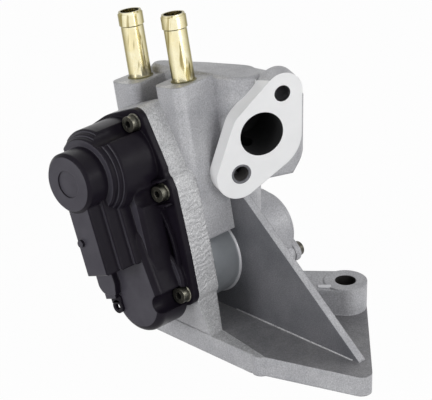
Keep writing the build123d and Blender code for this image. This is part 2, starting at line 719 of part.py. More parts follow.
def riser():
    """Upright casting round the gas way, its top sloping down behind the water jacket."""
    x, y = RISER
    inside = RISER_WAY[0] / 2 + RISER_WALL
    half_y = (RISER_WAY[1] - RISER_WAY[0]) / 2
    front = (x, y - half_y, inside)
    plan = hull([front, (x + 6, y + half_y, inside + 1), (x + 1, y + half_y + 18, 9), (*RISER_TAIL, RISER_TAIL_R)])
    body = upright(plan, STEM_Z + RISER_FOOT, STEM_Z + RISER_TOP + 12)
    root = hull([front, (x + 6, y + half_y, inside + 1), (x + 1, y + half_y + 9, 9)])
    body += upright(root, STEM_Z, STEM_Z + RISER_FOOT + 1)
    slope = Plane(origin=(x, y, STEM_Z + RISER_TOP), z_dir=RISER_SLOPE)
    body -= extrude(slope * Rectangle(160, 160), 60)
    top = body.faces().sort_by(Axis.Z)[-1]
    body = chamfer(top.edges(), RISER_EDGE)
    plan = hull([(x + 8, y, inside), (*SHOULDER_TIP, SHOULDER_TIP_R), front])
    shoulder = upright(plan, STEM_Z + SHOULDER_LOW, STEM_Z + RISER_TOP - 14)
    outer = SHOULDER_TIP[0] + SHOULDER_TIP_R
    corner = Polygon((outer - SHOULDER_CUT[0], STEM_Z + SHOULDER_LOW), (outer, STEM_Z + SHOULDER_LOW + SHOULDER_CUT[1]),
                     (outer + 5, STEM_Z + SHOULDER_LOW - 5), align=None)
    return body + (shoulder - extrude(Plane.XZ * corner, 60, both=True))


def chamber():
    """Valve chamber with a long boss for each cap screw, on a block that carries the inlet."""
    body = slab(Circle(CHAMBER_R), 0, CHAMBER_END_X)
    for phi in CAP_SCREW_PHI:
        y, z = cap_screw(phi)
        body += slab(disc(y, z, CAP_EAR_R), CHAMBER_END_X - CAP_BOSS_LEN, CHAMBER_END_X)
    length = CHAMBER_END_X
    return body + upright(Pos(length / 2, 0) * RectangleRounded(length, 2 * CHAMBER_R - 6, 6), 0, STEM_Z)


def cap_screw(phi):
    """Place (y, height over stem) of a rear cap screw at an angle from +Y."""
    angle = math.radians(phi)
    return CAP_SCREW_R * math.cos(angle), CAP_SCREW_R * math.sin(angle)


def coolant_ways():
    """Blind bores under the tubes, joined by one cross drilling closed with a plug."""
    ways = [body_slab(disc(TUBE_X, w, TUBE_R), BLOCK_TOP - TUBE_IN, BLOCK_TOP + 1) for w in TUBE_W]
    ways += [body_slab(disc(TUBE_X, w, TUBE_R - TUBE_WALL), COOLANT_CROSS, BLOCK_TOP) for w in TUBE_W]
    ways.append(cross_drilling(TUBE_R - TUBE_WALL - 1, TUBE_W[0], TUBE_W[1] + BLOCK_HALF + 2))
    ways.append(cross_drilling(PLUG_R, TUBE_W[1] + BLOCK_HALF - PLUG_T, TUBE_W[1] + BLOCK_HALF + 2))
    return ways


def cross_drilling(radius, w0, w1):
    """Cylinder across the jacket from w0 to w1."""
    roll = math.radians(ROLL)
    across = Vector(0, math.cos(roll), -math.sin(roll))
    up = Vector(0, math.sin(roll), math.cos(roll))
    origin = Vector(TUBE_X, 0, STEM_Z) + up * (COOLANT_CROSS + 4) + across * w0
    return extrude(Plane(origin=origin, x_dir=(1, 0, 0), z_dir=across) * Circle(radius), w1 - w0)


def core_plug():
    return cross_drilling(PLUG_R, TUBE_W[1] + BLOCK_HALF - PLUG_T, TUBE_W[1] + BLOCK_HALF - 0.4)


def valve_ways():
    """Everything that is machined or cored about the stem axis."""
    cuts = [ring_x(SPRING_BORE_R, 0, FLOOR_X - 1, SPRING_SEAT_X - SEAT_WASHER_T)]
    cuts.append(ring_x(SPRING_BORE_R - 0.4, 0, SPRING_SEAT_X - SEAT_WASHER_T, SPRING_SEAT_X))
    cuts.append(ring_x(SEAL_R, 0, SPRING_SEAT_X, SPRING_SEAT_X + SEAL_T))
    cuts.append(ring_x(BUSH_R, 0, SPRING_SEAT_X + SEAL_T, BUSH_END_X + 1))
    cuts.append(ring_x(CHAMBER_BORE_R, 0, BUSH_END_X, SEAT_X[0]))
    cuts.append(ring_x(SEAT_OUT_R, 0, SEAT_X[0], SEAT_X[1] + 1))
    cuts.append(ring_x(CHAMBER_BORE_R, 0, SEAT_X[1], CHAMBER_END_X + 1))
    return cuts


def gas_ways():
    """Inlet in the foot, riser and the machined port with its two bolt holes."""
    x, y = RISER
    port_top = GAS_FACE[2]
    cuts = [upright(disc(INLET_X, 0, INLET_R), -1, STEM_Z)]
    way = Pos(x, y) * RectangleRounded(*RISER_WAY, RISER_WAY[0] / 2 - 0.1)
    cuts.append(upright(way, STEM_Z, port_top))
    turn = math.radians(GAS_TURN)
    reach = (RISER[1] - GAS_FACE[1]) / math.cos(turn) + RISER_WAY[0] / 4
    cuts.append(extrude(gas_plane(-1) * Circle(GAS_PORT_R), -(reach + 1)))
    cuts += [extrude(gas_plane(-1) * disc(*p, GAS_BOLT_R), -GAS_T - 14) for p in gas_bolts()]
    return cuts


def guide_slots():
    """Two axial slots that keep the cross pin from turning."""
    start = math.radians(CAM_START)
    width = 2 * (CROSS_PIN_R + 0.1)
    length = 2 * (CROSS_PIN_HALF + 0.4)
    bar = Rot(0, 0, math.degrees(start)) * Rectangle(length, width)
    return slab(bar, FLOOR_X - COLLAR_H - 1, PIN_AXIS_X + LIFT + CROSS_PIN_R + 0.6)


def valve_housing():
    body = foot() + web() + leg() + chamber()
    body += slab(Circle(NECK_R), LEG_BACK_X - 1, 1)
    body += act_slab(flange_outline(), JOINT_X + FLANGE_T, JOINT_X)
    body += jacket() + riser() + gas_flange()
    body -= act_slab(gear_cavity(), FLOOR_X, JOINT_X - 1)
    body += ring_x(COLLAR_R, SPRING_BORE_R, FLOOR_X - COLLAR_H, FLOOR_X)
    for s, plane in ((IDLER_1_S, PLANE_B), (IDLER_2_S, PLANE_C)):
        body += act_slab(disc(0, s, PIN_R + 2), FLOOR_X + 1, plane[0] + 0.3)
        body -= act_slab(disc(0, s, PIN_R), FLOOR_X + 4, PLANE_A[1])
    for cut in valve_ways() + gas_ways() + coolant_ways():
        body -= cut
    body -= guide_slots()
    body -= screw_holes(SCREW_R, JOINT_X - RIM_T + SCREW_LEN + 1, JOINT_X - 1)
    for phi in CAP_SCREW_PHI:
        y, z = cap_screw(phi)
        body -= slab(disc(y, z, CAP_BOLT_R), CHAMBER_END_X - 10, CHAMBER_END_X + 1)
    return body


def cap_outline(grow=0.0):
    ears = [(*cap_screw(phi), CAP_EAR_R + grow) for phi in CAP_SCREW_PHI]
    return hull(ears) + Circle(CAP_R + grow)


def rear_cap():
    x0 = CHAMBER_END_X + CAP_GASKET_T
    body = slab(cap_outline(), x0, x0 + CAP_T)
    body += slab(Circle(CHAMBER_BORE_R - 4), x0, x0 + CAP_T + 1.6)
    for phi in CAP_SCREW_PHI:
        body -= slab(disc(*cap_screw(phi), CAP_BOLT_R + HOLE_CLEAR), x0 - 1, x0 + CAP_T + 1)
    return body


def rear_gasket():
    sketch = cap_outline(-0.4) - Circle(CHAMBER_BORE_R)
    for phi in CAP_SCREW_PHI:
        sketch -= disc(*cap_screw(phi), CAP_BOLT_R + HOLE_CLEAR)
    return slab(sketch, CHAMBER_END_X, CHAMBER_END_X + CAP_GASKET_T)


def rear_screws():
    screws = []
    seat = CHAMBER_END_X + CAP_GASKET_T + CAP_T
    for phi in CAP_SCREW_PHI:
        y, z = cap_screw(phi)
        screw = slab(disc(y, z, CAP_BOLT_R), CHAMBER_END_X - 9, seat)
        screw += slab(disc(y, z, CAP_HEAD_R), seat, seat + CAP_HEAD_H)
        screw -= slab(Pos(y, z) * RegularPolygon(1.9, 6), seat + 2, seat + CAP_HEAD_H)
        screws.append(screw)
    return Compound(children=screws)


def coolant_tube(w):
    """Plated hose tube whose open end is swaged to a barrel that the hose grips."""
    open_end = BLOCK_TOP + TUBE_OUT
    barrel = body_slab(disc(TUBE_X, w, BARREL_R), open_end - BARREL_LEN, open_end - BARREL_NOSE)
    barrel = chamfer(barrel.edges().filter_by(GeomType.CIRCLE), BARREL_R - TUBE_R)
    body = barrel + body_slab(disc(TUBE_X, w, TUBE_R), BLOCK_TOP - TUBE_IN, open_end)
    return body - body_slab(disc(TUBE_X, w, TUBE_R - TUBE_WALL), BLOCK_TOP - TUBE_IN - 1, open_end + 1)


# ---- cover ------------------------------------------------------------------------------
def pad(sketch, front, edge):
    """Raised layer of the cover with rounded front edges, front given ahead of the joint."""
    body = act_slab(sketch, JOINT_X - RIM_T + 0.5, JOINT_X - front)
    return chamfer(body.faces().sort_by(Axis.X)[0].edges(), edge)


def cover_outside():
    big = tip_radius(Z_BIG) + GEAR_CLEAR + WALL
    body = act_slab(flange_outline(), JOINT_X, JOINT_X - RIM_T)
    body += pad(Circle(tip_radius(Z_OUT) + GEAR_CLEAR + 1.9), SECTOR_FRONT + WALL, 1.0)
    box = hull([(0, MOTOR_S, 21.0), (0, IDLER_1_S, big), (0, IDLER_2_S, big), (0, 8, 16.6)])
    body += pad(box, BOX_FRONT, 2.0)
    tongue = hull([(0, DOME_S, DOME_R), (0, SPINE_LOW + 8, DOME_R - 3)])
    dome = act_slab(tongue, JOINT_X - RIM_T + 0.5, JOINT_X - DOME_FRONT)
    body += fillet(dome.faces().sort_by(Axis.X)[0].edges(), DOME_ROUND)
    for radius, front in RING_STEPS:
        body += pad(disc(0, MOTOR_S, radius), front, 0.8)
    body += pad(disc(0, MOTOR_S, BUMP_R), BUMP_FRONT, 1.6)
    body -= act_slab(disc(0, MOTOR_S, DIMPLE_R), JOINT_X - BUMP_FRONT + DIMPLE_T, JOINT_X - BUMP_FRONT - 1)
    length = MOTOR_S - SPINE_LOW
    for half, front in PLATE_STEPS:
        body += pad(Pos(0, SPINE_LOW + length / 2) * Rectangle(2 * half, length), front, 0.7)
    left = SOCKET_E - SOCKET_HALF
    right = SOCKET_E + SOCKET_HALF
    block = hull([(left + SOCKET_ROUND, SOCKET_LOW + SOCKET_ROUND, SOCKET_ROUND), (left + 1, SOCKET_TOP - 1, 1),
                  (right - 1, SOCKET_TOP - 1, 1), (right - 1, SOCKET_LOW + 1, 1)])
    body += act_slab(block, SOCKET_X[1], SOCKET_X[0])
    body += act_slab(disc(NUB[0], NUB[1], NUB_R), JOINT_X - PLATE_STEPS[0][1] + 1, JOINT_X - PLATE_STEPS[0][1] - NUB_T)
    drop = MOUTH_FLOOR - MOUTH_LOW
    sleeve = Pos(SOCKET_E, MOUTH_LOW + drop / 2) * Rectangle(2 * MOUTH_HALF, drop)
    return body + act_slab(sleeve, MOUTH_X[1], MOUTH_X[0])


def socket_hollow():
    """Open connector socket, facing down along the centre line."""
    drop = MOUTH_FLOOR - MOUTH_LOW + 1
    hollow = Pos(SOCKET_E, MOUTH_LOW - 1 + drop / 2) * Rectangle(2 * (MOUTH_HALF - MOUTH_WALL), drop)
    return act_slab(hollow, MOUTH_X[1] - MOUTH_WALL, MOUTH_X[0] + MOUTH_WALL)


def terminal_blades():
    """Row of blades that stand in the socket, their roots held in the cover."""
    width, thick = TERMINAL
    mid_x = (MOUTH_X[0] + MOUTH_X[1]) / 2
    length = MOUTH_FLOOR - MOUTH_LOW + BLADE_ROOT - 2.5
    blade = Pos(SOCKET_E, MOUTH_FLOOR + BLADE_ROOT - length / 2) * Rectangle(thick, length)
    blades = []
    for k in range(TERMINALS):
        x = mid_x + (k - (TERMINALS - 1) / 2) * TERMINAL_PITCH
        blades.append(act_slab(blade, x + width / 2, x - width / 2))
    return blades


def terminals():
    return Compound(children=terminal_blades())


def actuator_cover():
    body = cover_outside()
    body -= act_slab(gear_room(), JOINT_X + 1, CAVITY_FRONT_X)
    body -= act_slab(sector_room(), JOINT_X + 1, JOINT_X - SECTOR_FRONT)
    body -= at_motor(Circle(MOTOR_R + MOTOR_CLEAR), JOINT_X + 1, JOINT_X - BUMP_FRONT + WALL)
    body -= socket_hollow()
    body -= act_slab(seal_band(SEAL_W, SEAL_OFFSET), JOINT_X + 1, JOINT_X - SEAL_GROOVE)
    for e, s in SCREWS:
        body -= act_slab(disc(e, s, SCREW_HEAD_R + 1.0), JOINT_X - RIM_T, JOINT_X - RING_STEPS[2][1])
        body -= act_slab(disc(e, s, SCREW_R + HOLE_CLEAR), JOINT_X + 1, JOINT_X - RIM_T - 1)
    body += ring_x(SPINDLE_R + 2.2, 0, CAVITY_FRONT_X - 0.5, PLANE_B[1] - 0.4)
    body -= ring_x(SPINDLE_R, 0, CAVITY_FRONT_X - PIN_SEAT, JOINT_X)
    for s in (IDLER_1_S, IDLER_2_S):
        body -= act_slab(disc(0, s, PIN_R), JOINT_X, CAVITY_FRONT_X - PIN_SEAT)
    for blade in terminal_blades():
        body -= blade
    return body


def sensor_magnet():
    """Ring magnet on the boss of the output gear."""
    return ring_x(MAGNET_R, BOSS_R, PLANE_B[1], PLANE_B[1] + 3.0)


def sensor_board():
    """Position sensor board against the front wall, round the spindle boss."""
    board = Circle(HUB_R + GEAR_CLEAR - 0.5) + Pos(0, 11) * Rectangle(8, 8)
    board -= Circle(SPINDLE_R + 2.5)
    return act_slab(board, CAVITY_FRONT_X + BOARD_T, CAVITY_FRONT_X)


def motor_snap_ring():
    """Ring that holds the motor down in its bore."""
    ring = Circle(MOTOR_R + MOTOR_CLEAR) - Circle(MOTOR_R - 4.0)
    return at_motor(ring, MOTOR_BACK_X + SNAP_RING_T, MOTOR_BACK_X)


def wave_washer():
    """Spring washer between the motor and the end of its bore."""
    return at_motor(Circle(MOTOR_R - 1) - Circle(MOTOR_R - 4), MOTOR_FRONT_X, MOTOR_FRONT_X - WAVE_T)


def output_spindle():
    """Hardened spindle in the cover; the output gear turns on it."""
    return ring_x(SPINDLE_R, 0, CAVITY_FRONT_X - PIN_SEAT, PLANE_C[0] - 1.8)


NODES = {
    "valve_housing": valve_housing,
    "actuator_cover": actuator_cover,
    "cover_seal": cover_seal,
    "cover_screws": cover_screws,
    "output_gear": output_gear,
    "output_spindle": output_spindle,
    "idler_gear_low": lambda: idler(IDLER_2_S, PLANE_B, PLANE_C),
    "idler_gear_high": lambda: idler(IDLER_1_S, PLANE_A, PLANE_B),
    "idler_pins": idler_pins,
    "motor_pinion": motor_pinion,
    "motor_shaft": motor_shaft,
    "motor_armature": motor_armature,
    "motor_commutator": motor_commutator,
    "motor_brushes": motor_brushes,
    "motor_can": motor_can,
    "motor_end_plate": motor_end_plate,
    "motor_magnets": motor_magnets,
    "poppet_valve": poppet_valve,
    "cam_follower": cam_follower,
    "cross_pin": cross_pin,
    "cam_roller_near": lambda: cam_roller(-1),
    "cam_roller_far": lambda: cam_roller(1),
    "return_spring": return_spring,
    "seat_washer": seat_washer,
    "stem_seal": stem_seal,
    "stem_bush": stem_bush,
    "seat_ring": seat_ring,
    "rear_gasket": rear_gasket,
    "rear_cap": rear_cap,
    "rear_screws": rear_screws,
    "coolant_tube_near": lambda: coolant_tube(TUBE_W[0]),
    "coolant_tube_far": lambda: coolant_tube(TUBE_W[1]),
    "core_plug": core_plug,
    "terminals": terminals,
    "sensor_magnet": sensor_magnet,
    "sensor_board": sensor_board,
    "motor_snap_ring": motor_snap_ring,
    "wave_washer": wave_washer,
}


def main():
    os.makedirs("parts", exist_ok=True)
    for name, build in NODES.items():
        export_step(build(), f"parts/{name}.step")


main()
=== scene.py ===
"""Dresses the geared exhaust gas valve: finishes, small fittings, floor, lamps and camera."""

import logging
import math
from collections.abc import Callable
from dataclasses import dataclass, field
from enum import Enum, IntEnum

import bmesh
import bpy
from mathutils import Matrix, Vector


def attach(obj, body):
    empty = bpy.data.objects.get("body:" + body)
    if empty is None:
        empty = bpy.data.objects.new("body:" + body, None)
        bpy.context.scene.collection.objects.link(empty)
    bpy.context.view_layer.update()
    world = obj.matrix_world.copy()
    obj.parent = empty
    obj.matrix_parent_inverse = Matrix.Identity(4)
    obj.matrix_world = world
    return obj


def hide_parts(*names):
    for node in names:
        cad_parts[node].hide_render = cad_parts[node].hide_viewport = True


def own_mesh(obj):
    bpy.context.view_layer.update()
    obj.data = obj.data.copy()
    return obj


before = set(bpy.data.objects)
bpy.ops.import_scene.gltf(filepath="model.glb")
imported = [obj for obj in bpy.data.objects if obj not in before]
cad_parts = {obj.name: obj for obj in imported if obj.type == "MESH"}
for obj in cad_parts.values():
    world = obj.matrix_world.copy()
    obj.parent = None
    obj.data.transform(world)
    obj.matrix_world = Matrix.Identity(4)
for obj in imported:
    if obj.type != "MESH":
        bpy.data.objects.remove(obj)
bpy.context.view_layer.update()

log = logging.getLogger("valve")

# ---- places that the pieces share, in metres ----------------------------------------------
STEM_Z = 0.0393                 # height of the stem axis over the foot
JOINT_X = -0.0355               # joint plane between housing and cover
RIM_FRONT_X = -0.0391           # front of the cover's rim, under the screw heads
LEAN = math.radians(21.0)       # lean of the drive's centre line from upright
ROLL = math.radians(11.4)       # roll of the water jacket about the stem
FOOT_TOP = 0.0110               # top of the foot plate
NECK_R = 0.0215                 # turned neck round the stem
SCREW_PLACES = ((0.0154, 0.0830), (0.0222, 0.0452), (0.0164, -0.0096),
                (-0.0186, -0.0096), (-0.0222, 0.0452), (-0.0170, 0.0775))  # across and along the drive
LUG_PLACE = Vector((0.0420, -0.0583, 0.0262))
EAR_PLACE = Vector((0.0370, 0.0320, 0.0140))
TUBE_ACROSS = (-0.0114, 0.0208)  # places of the coolant tubes across the jacket
TUBE_X = -0.0100
BLOCK_TOP = 0.0987              # height of the water blocks over the stem axis

GAS_TURN = math.radians(24.0)   # turn of the gas flange's normal from -Y towards -X
GAS_FACE = Vector((0.0080, -0.0294, 0.1136))
GAS_NORMAL = Vector((-math.sin(GAS_TURN), -math.cos(GAS_TURN), 0.0))
GAS_ACROSS = Vector((math.cos(GAS_TURN), -math.sin(GAS_TURN), 0.0))
GAS_BOLTS = ((-0.011393, -0.020554), (0.011393, 0.020554))  # across and up the flange
PORT_R = 0.0119
BOLT_R = 0.0044

WELD = 0.000001                 # points closer than this are one point
BEAD_SIDES = 10
BEVEL_SAMPLES = 6


def drive_frame(across: float, along: float, x: float) -> Matrix:
    """Frame on the leaning drive: x across, y up its centre line, z out of the front.

    Args:
        across: Distance across the centre line.
        along: Distance up the centre line from the stem axis.
        x: Position along the stem axis.

    Returns:
        The frame's matrix.
    """
    right = Vector((0.0, -math.cos(LEAN), math.sin(LEAN)))
    up = Vector((0.0, math.sin(LEAN), math.cos(LEAN)))
    out = Vector((-1.0, 0.0, 0.0))
    place = Vector((x, 0.0, STEM_Z)) + right * across + up * along
    return Matrix.Translation(place) @ Matrix((right, up, out)).transposed().to_4x4()


def gas_frame(across: float, up: float, depth: float = 0.0) -> Matrix:
    """Frame on the gas flange: x across, y up, z out of its face.

    Args:
        across: Distance across the flange from its middle.
        up: Distance up from its middle.
        depth: Distance behind its face.

    Returns:
        The frame's matrix.
    """
    turn = Matrix((GAS_ACROSS, Vector((0.0, 0.0, 1.0)), GAS_NORMAL)).transposed().to_4x4()
    place = GAS_FACE + GAS_ACROSS * across + Vector((0.0, 0.0, up)) - GAS_NORMAL * depth
    return Matrix.Translation(place) @ turn


def jacket_frame(across: float, height: float) -> Matrix:
    """Frame on the rolled water jacket: z up a coolant tube.

    Args:
        across: Distance across the jacket from the stem axis.
        height: Distance up the jacket from the stem axis.

    Returns:
        The frame's matrix.
    """
    side = Vector((0.0, math.cos(ROLL), -math.sin(ROLL)))
    up = Vector((0.0, math.sin(ROLL), math.cos(ROLL)))
    place = Vector((TUBE_X, 0.0, STEM_Z)) + side * across + up * height
    return Matrix.Translation(place) @ Matrix((Vector((1.0, 0.0, 0.0)), side, up)).transposed().to_4x4()


class Body(Enum):
    """Body of the frame that the pieces ride on."""

    HOUSING = "housing"


class Slot(Enum):
    """Material slots of the record."""

    CAST = "cast_housing"
    COVER = "cover_plastic"
    SCREW = "black_screw"
    STEEL = "steel_bright"
    TUBE = "zinc_tube"


# ---- shader nodes ----------------------------------------------------------------------------
def add_node(nodes: bpy.types.Nodes, kind: str, values: dict[str | int, object] | None = None,
             **settings: object) -> bpy.types.Node:
    """Add a shader node.

    Args:
        nodes: Nodes of the tree.
        kind: Type of the node, without its common prefix.
        values: Name or place of an input to its value.
        **settings: Properties of the node itself.

    Returns:
        The new node.
    """
    node = nodes.new(f"ShaderNode{kind}")
    for label, setting in settings.items():
        setattr(node, label, setting)
    for label, value in (values or {}).items():
        node.inputs[label].default_value = value
    return node


class ColourMix:
    """A mix of two colours, whose sockets are reached by plain names."""

    def __init__(self, nodes: bpy.types.Nodes, first: tuple, second: tuple) -> None:
        """Add the mix node.

        Args:
            nodes: Nodes of the material.
            first: Colour at factor 0.
            second: Colour at factor 1.
        """
        node = add_node(nodes, "Mix", data_type="RGBA")
        colours = [s for s in node.inputs if s.type == "RGBA"]
        for socket, colour in zip(colours, (first, second)):
            socket.default_value = (*colour, 1.0)
        self.factor = node.inputs[0]
        self.first = colours[0]
        self.result = next(s for s in node.outputs if s.type == "RGBA")


def new_group(name: str, inputs: dict[str, tuple[str, float | None]],
              outputs: dict[str, str]) -> bpy.types.NodeTree:
    """Make an empty shader group with named sockets.

    Args:
        name: Name of the group.
        inputs: Socket name to its type and its default value.
        outputs: Socket name to its type.

    Returns:
        The new node tree, with its input and output nodes in place.
    """
    tree = bpy.data.node_groups.new(name, "ShaderNodeTree")
    for label, (kind, value) in inputs.items():
        socket = tree.interface.new_socket(label, in_out="INPUT", socket_type=kind)
        if value is not None:
            socket.default_value = value
    for label, kind in outputs.items():
        tree.interface.new_socket(label, in_out="OUTPUT", socket_type=kind)
    return tree


def grain_group() -> bpy.types.NodeTree:
    """Build the surface grain: a bumped normal and a mottling mask from two noises.

    Returns:
        The group, with Normal and Mask outputs.
    """
    tree = new_group(
        "surface_grain",
        {
            "Vector": ("NodeSocketVector", None),
            "Scale": ("NodeSocketFloat", 900.0),
            "Strength": ("NodeSocketFloat", 0.3),
            "Depth": ("NodeSocketFloat", 0.0002),
            "Mottle Scale": ("NodeSocketFloat", 60.0),
            "Normal": ("NodeSocketVector", None),
        },
        {"Normal": "NodeSocketVector", "Mask": "NodeSocketFloat"},
    )
    link = tree.links.new
    start = tree.nodes.new("NodeGroupInput").outputs
    end = tree.nodes.new("NodeGroupOutput").inputs
    fine = add_node(tree.nodes, "TexNoise", {"Detail": 3.0, "Roughness": 0.55})
    mottle = add_node(tree.nodes, "TexNoise", {"Detail": 4.0, "Roughness": 0.6})
    ramp = add_node(tree.nodes, "MapRange", {"From Min": 0.35, "From Max": 0.65})
    bump = add_node(tree.nodes, "Bump")
    link(start["Vector"], fine.inputs["Vector"])
    link(start["Scale"], fine.inputs["Scale"])
    link(start["Vector"], mottle.inputs["Vector"])
    link(start["Mottle Scale"], mottle.inputs["Scale"])
    link(mottle.outputs["Fac"], ramp.inputs["Value"])
    link(fine.outputs["Fac"], bump.inputs["Height"])
    link(start["Strength"], bump.inputs["Strength"])
    link(start["Depth"], bump.inputs["Distance"])
    link(start["Normal"], bump.inputs["Normal"])
    link(bump.outputs["Normal"], end["Normal"])
    link(ramp.outputs["Result"], end["Mask"])
    return tree


@dataclass
class Shaders:
    """The shader group that the finishes place, and the materials made so far."""

    grain: bpy.types.NodeTree = field(default_factory=grain_group)
    made: dict[str, bpy.types.Material] = field(default_factory=dict)


@dataclass
class Surface:
    """A new material that holds one Principled shader, and the nodes that finishes build on."""

    material: bpy.types.Material
    nodes: bpy.types.Nodes
    link: Callable
    shader: bpy.types.Node
    coords: bpy.types.NodeSocket

    @classmethod
    def start(cls, name: str) -> "Surface":
        """Start a material.

        Args:
            name: Name of the material.

        Returns:
            The surface, with object coordinates at hand.
        """
        material = bpy.data.materials.new(name)
        material.use_nodes = True
        nodes = material.node_tree.nodes
        coords = add_node(nodes, "TexCoord").outputs["Object"]
        return cls(material, nodes, material.node_tree.links.new, nodes["Principled BSDF"], coords)

    def feeds(self, label: str) -> bpy.types.NodeSocket:
        """Return the socket that feeds an input of the shader.

        Args:
            label: Name of the input.

        Returns:
            The output socket that is linked to it.
        """
        return self.shader.inputs[label].links[0].from_socket


# ---- finishes --------------------------------------------------------------------------------
@dataclass(frozen=True)
class Finish:
    """One plain finish: a colour that drifts between two tones under a fine grain."""

    name: str
    colour: tuple[float, float, float]
    dark: tuple[float, float, float]
    metallic: float
    roughness: float
    grain_scale: float = 900.0
    grain_strength: float = 0.2
    grain_depth: float = 0.0001
    mottle_scale: float = 60.0
    edge_radius: float = 0.0
    rough_drift: float = 0.08
    specular: float = 0.5

    def material(self, shaders: Shaders) -> bpy.types.Material:
        """Build the material.

        Args:
            shaders: The shared groups.

        Returns:
            The finished material.
        """
        surface = Surface.start(self.name)
        nodes, link, shader = surface.nodes, surface.link, surface.shader
        settings = {"Scale": self.grain_scale, "Strength": self.grain_strength,
                    "Depth": self.grain_depth, "Mottle Scale": self.mottle_scale}
        grain = add_node(nodes, "Group", settings, node_tree=shaders.grain)
        link(surface.coords, grain.inputs["Vector"])
        if self.edge_radius:
            relief = add_node(nodes, "Bevel", {"Radius": self.edge_radius}, samples=BEVEL_SAMPLES)
        else:
            relief = add_node(nodes, "NewGeometry")
        link(relief.outputs["Normal"], grain.inputs["Normal"])
        tone = ColourMix(nodes, self.dark, self.colour)
        link(grain.outputs["Mask"], tone.factor)
        dull, keen = self.roughness + self.rough_drift, self.roughness
        rough = add_node(nodes, "MapRange", {"To Min": dull, "To Max": keen})
        link(grain.outputs["Mask"], rough.inputs["Value"])
        link(tone.result, shader.inputs["Base Color"])
        link(rough.outputs["Result"], shader.inputs["Roughness"])
        link(grain.outputs["Normal"], shader.inputs["Normal"])
        shader.inputs["Metallic"].default_value = self.metallic
        shader.inputs["Specular IOR Level"].default_value = self.specular
        self.enrich(surface)
        return surface.material

    def enrich(self, surface: Surface) -> None:
        """Add what one kind of finish has over the plain one.

        Args:
            surface: The material so far.
        """


@dataclass(frozen=True)
class PlatedTube(Finish):
    """Yellow plated tube with painted reflection and shade: pale where it faces the eye, olive towards its
    edges, with painted dark reflection streaks.
    """

    # Olive of the painted shade towards the tube's edges, as seen from the eye.
    rim: tuple[float, float, float] = (0.27, 0.23, 0.08)
    edge_shade_from: float = 0.16
    edge_shade_to: float = 0.58
    # Colour of the painted dark reflection streaks along the tube.
    reflection_streak: tuple[float, float, float] = (0.40, 0.33, 0.14)
    reflection_streak_scale: tuple[float, float, float] = (420.0, 420.0, 26.0)
    reflection_streak_from: float = 0.56
    reflection_streak_to: float = 0.66

    def enrich(self, surface: Surface) -> None:
        """Add the painted dark reflection streaks and the painted shade that turns the edges olive.

        Args:
            surface: The material so far.
        """
        nodes, link = surface.nodes, surface.link
        # Painted reflection: noise stretched along the tube lays dark reflection streaks into the colour.
        stretch = add_node(nodes, "Mapping", {"Scale": self.reflection_streak_scale})
        reflection_streaks = add_node(nodes, "TexNoise", {"Scale": 1.0, "Detail": 2.0})
        where = add_node(nodes, "MapRange", {"From Min": self.reflection_streak_from, "From Max": self.reflection_streak_to})
        link(surface.coords, stretch.inputs["Vector"])
        link(stretch.outputs["Vector"], reflection_streaks.inputs["Vector"])
        link(reflection_streaks.outputs["Fac"], where.inputs["Value"])
        reflection_streaked = ColourMix(nodes, self.colour, self.reflection_streak)
        link(surface.feeds("Base Color"), reflection_streaked.first)
        link(where.outputs["Result"], reflection_streaked.factor)
        # Painted shade and reflection: the colour turns olive as the surface turns away from the eye.
        facing = add_node(nodes, "LayerWeight", {"Blend": 0.5})
        edge = add_node(nodes, "MapRange", {"From Min": self.edge_shade_from, "From Max": self.edge_shade_to})
        link(facing.outputs["Facing"], edge.inputs["Value"])
        edge_shaded = ColourMix(nodes, self.colour, self.rim)
        link(reflection_streaked.result, edge_shaded.first)
        link(edge.outputs["Result"], edge_shaded.factor)
        link(edge_shaded.result, surface.shader.inputs["Base Color"])


@dataclass(frozen=True)
class CastAlloy(Finish):
    """Blasted aluminium casting with fine speckle and short tool lines."""

    speckle_scale: float = 1500.0
    speckle: float = 0.22
    line_scale: float = 240.0
    line_depth: float = 0.00006
    line_strength: float = 0.35

    def enrich(self, surface: Surface) -> None:
        """Add the speckle and the tool lines.

        Args:
            surface: The material so far.
        """
        nodes, link, shader = surface.nodes, surface.link, surface.shader
        speck = add_node(nodes, "TexNoise", {"Scale": self.speckle_scale, "Detail": 2.0})
        spread = add_node(nodes, "MapRange", {"From Min": 0.3, "From Max": 0.7,
                                              "To Min": 1.0 - self.speckle, "To Max": 1.0 + self.speckle})
        times = add_node(nodes, "VectorMath", operation="MULTIPLY")
        link(surface.coords, speck.inputs["Vector"])
        link(speck.outputs["Fac"], spread.inputs["Value"])
        link(surface.feeds("Base Color"), times.inputs[0])
        link(spread.outputs["Result"], times.inputs[1])
        link(times.outputs["Vector"], shader.inputs["Base Color"])
        waves = {"Scale": self.line_scale, "Distortion": 9.0, "Detail": 3.0, "Detail Scale": 2.0}
        lines = add_node(nodes, "TexWave", waves, wave_type="BANDS", bands_direction="Z")
        bump = add_node(nodes, "Bump", {"Strength": self.line_strength, "Distance": self.line_depth})
        link(surface.coords, lines.inputs["Vector"])
        link(lines.outputs["Fac"], bump.inputs["Height"])
        link(surface.feeds("Normal"), bump.inputs["Normal"])
        link(bump.outputs["Normal"], shader.inputs["Normal"])


BLASTED = {"grain_scale": 1500.0, "grain_strength": 0.7, "grain_depth": 0.00018}
MOULDED = {"grain_scale": 2600.0, "grain_depth": 0.00005, "edge_radius": 0.0012}
MACHINED = {"grain_scale": 1800.0, "grain_depth": 0.00003, "mottle_scale": 420.0, "edge_radius": 0.0003}

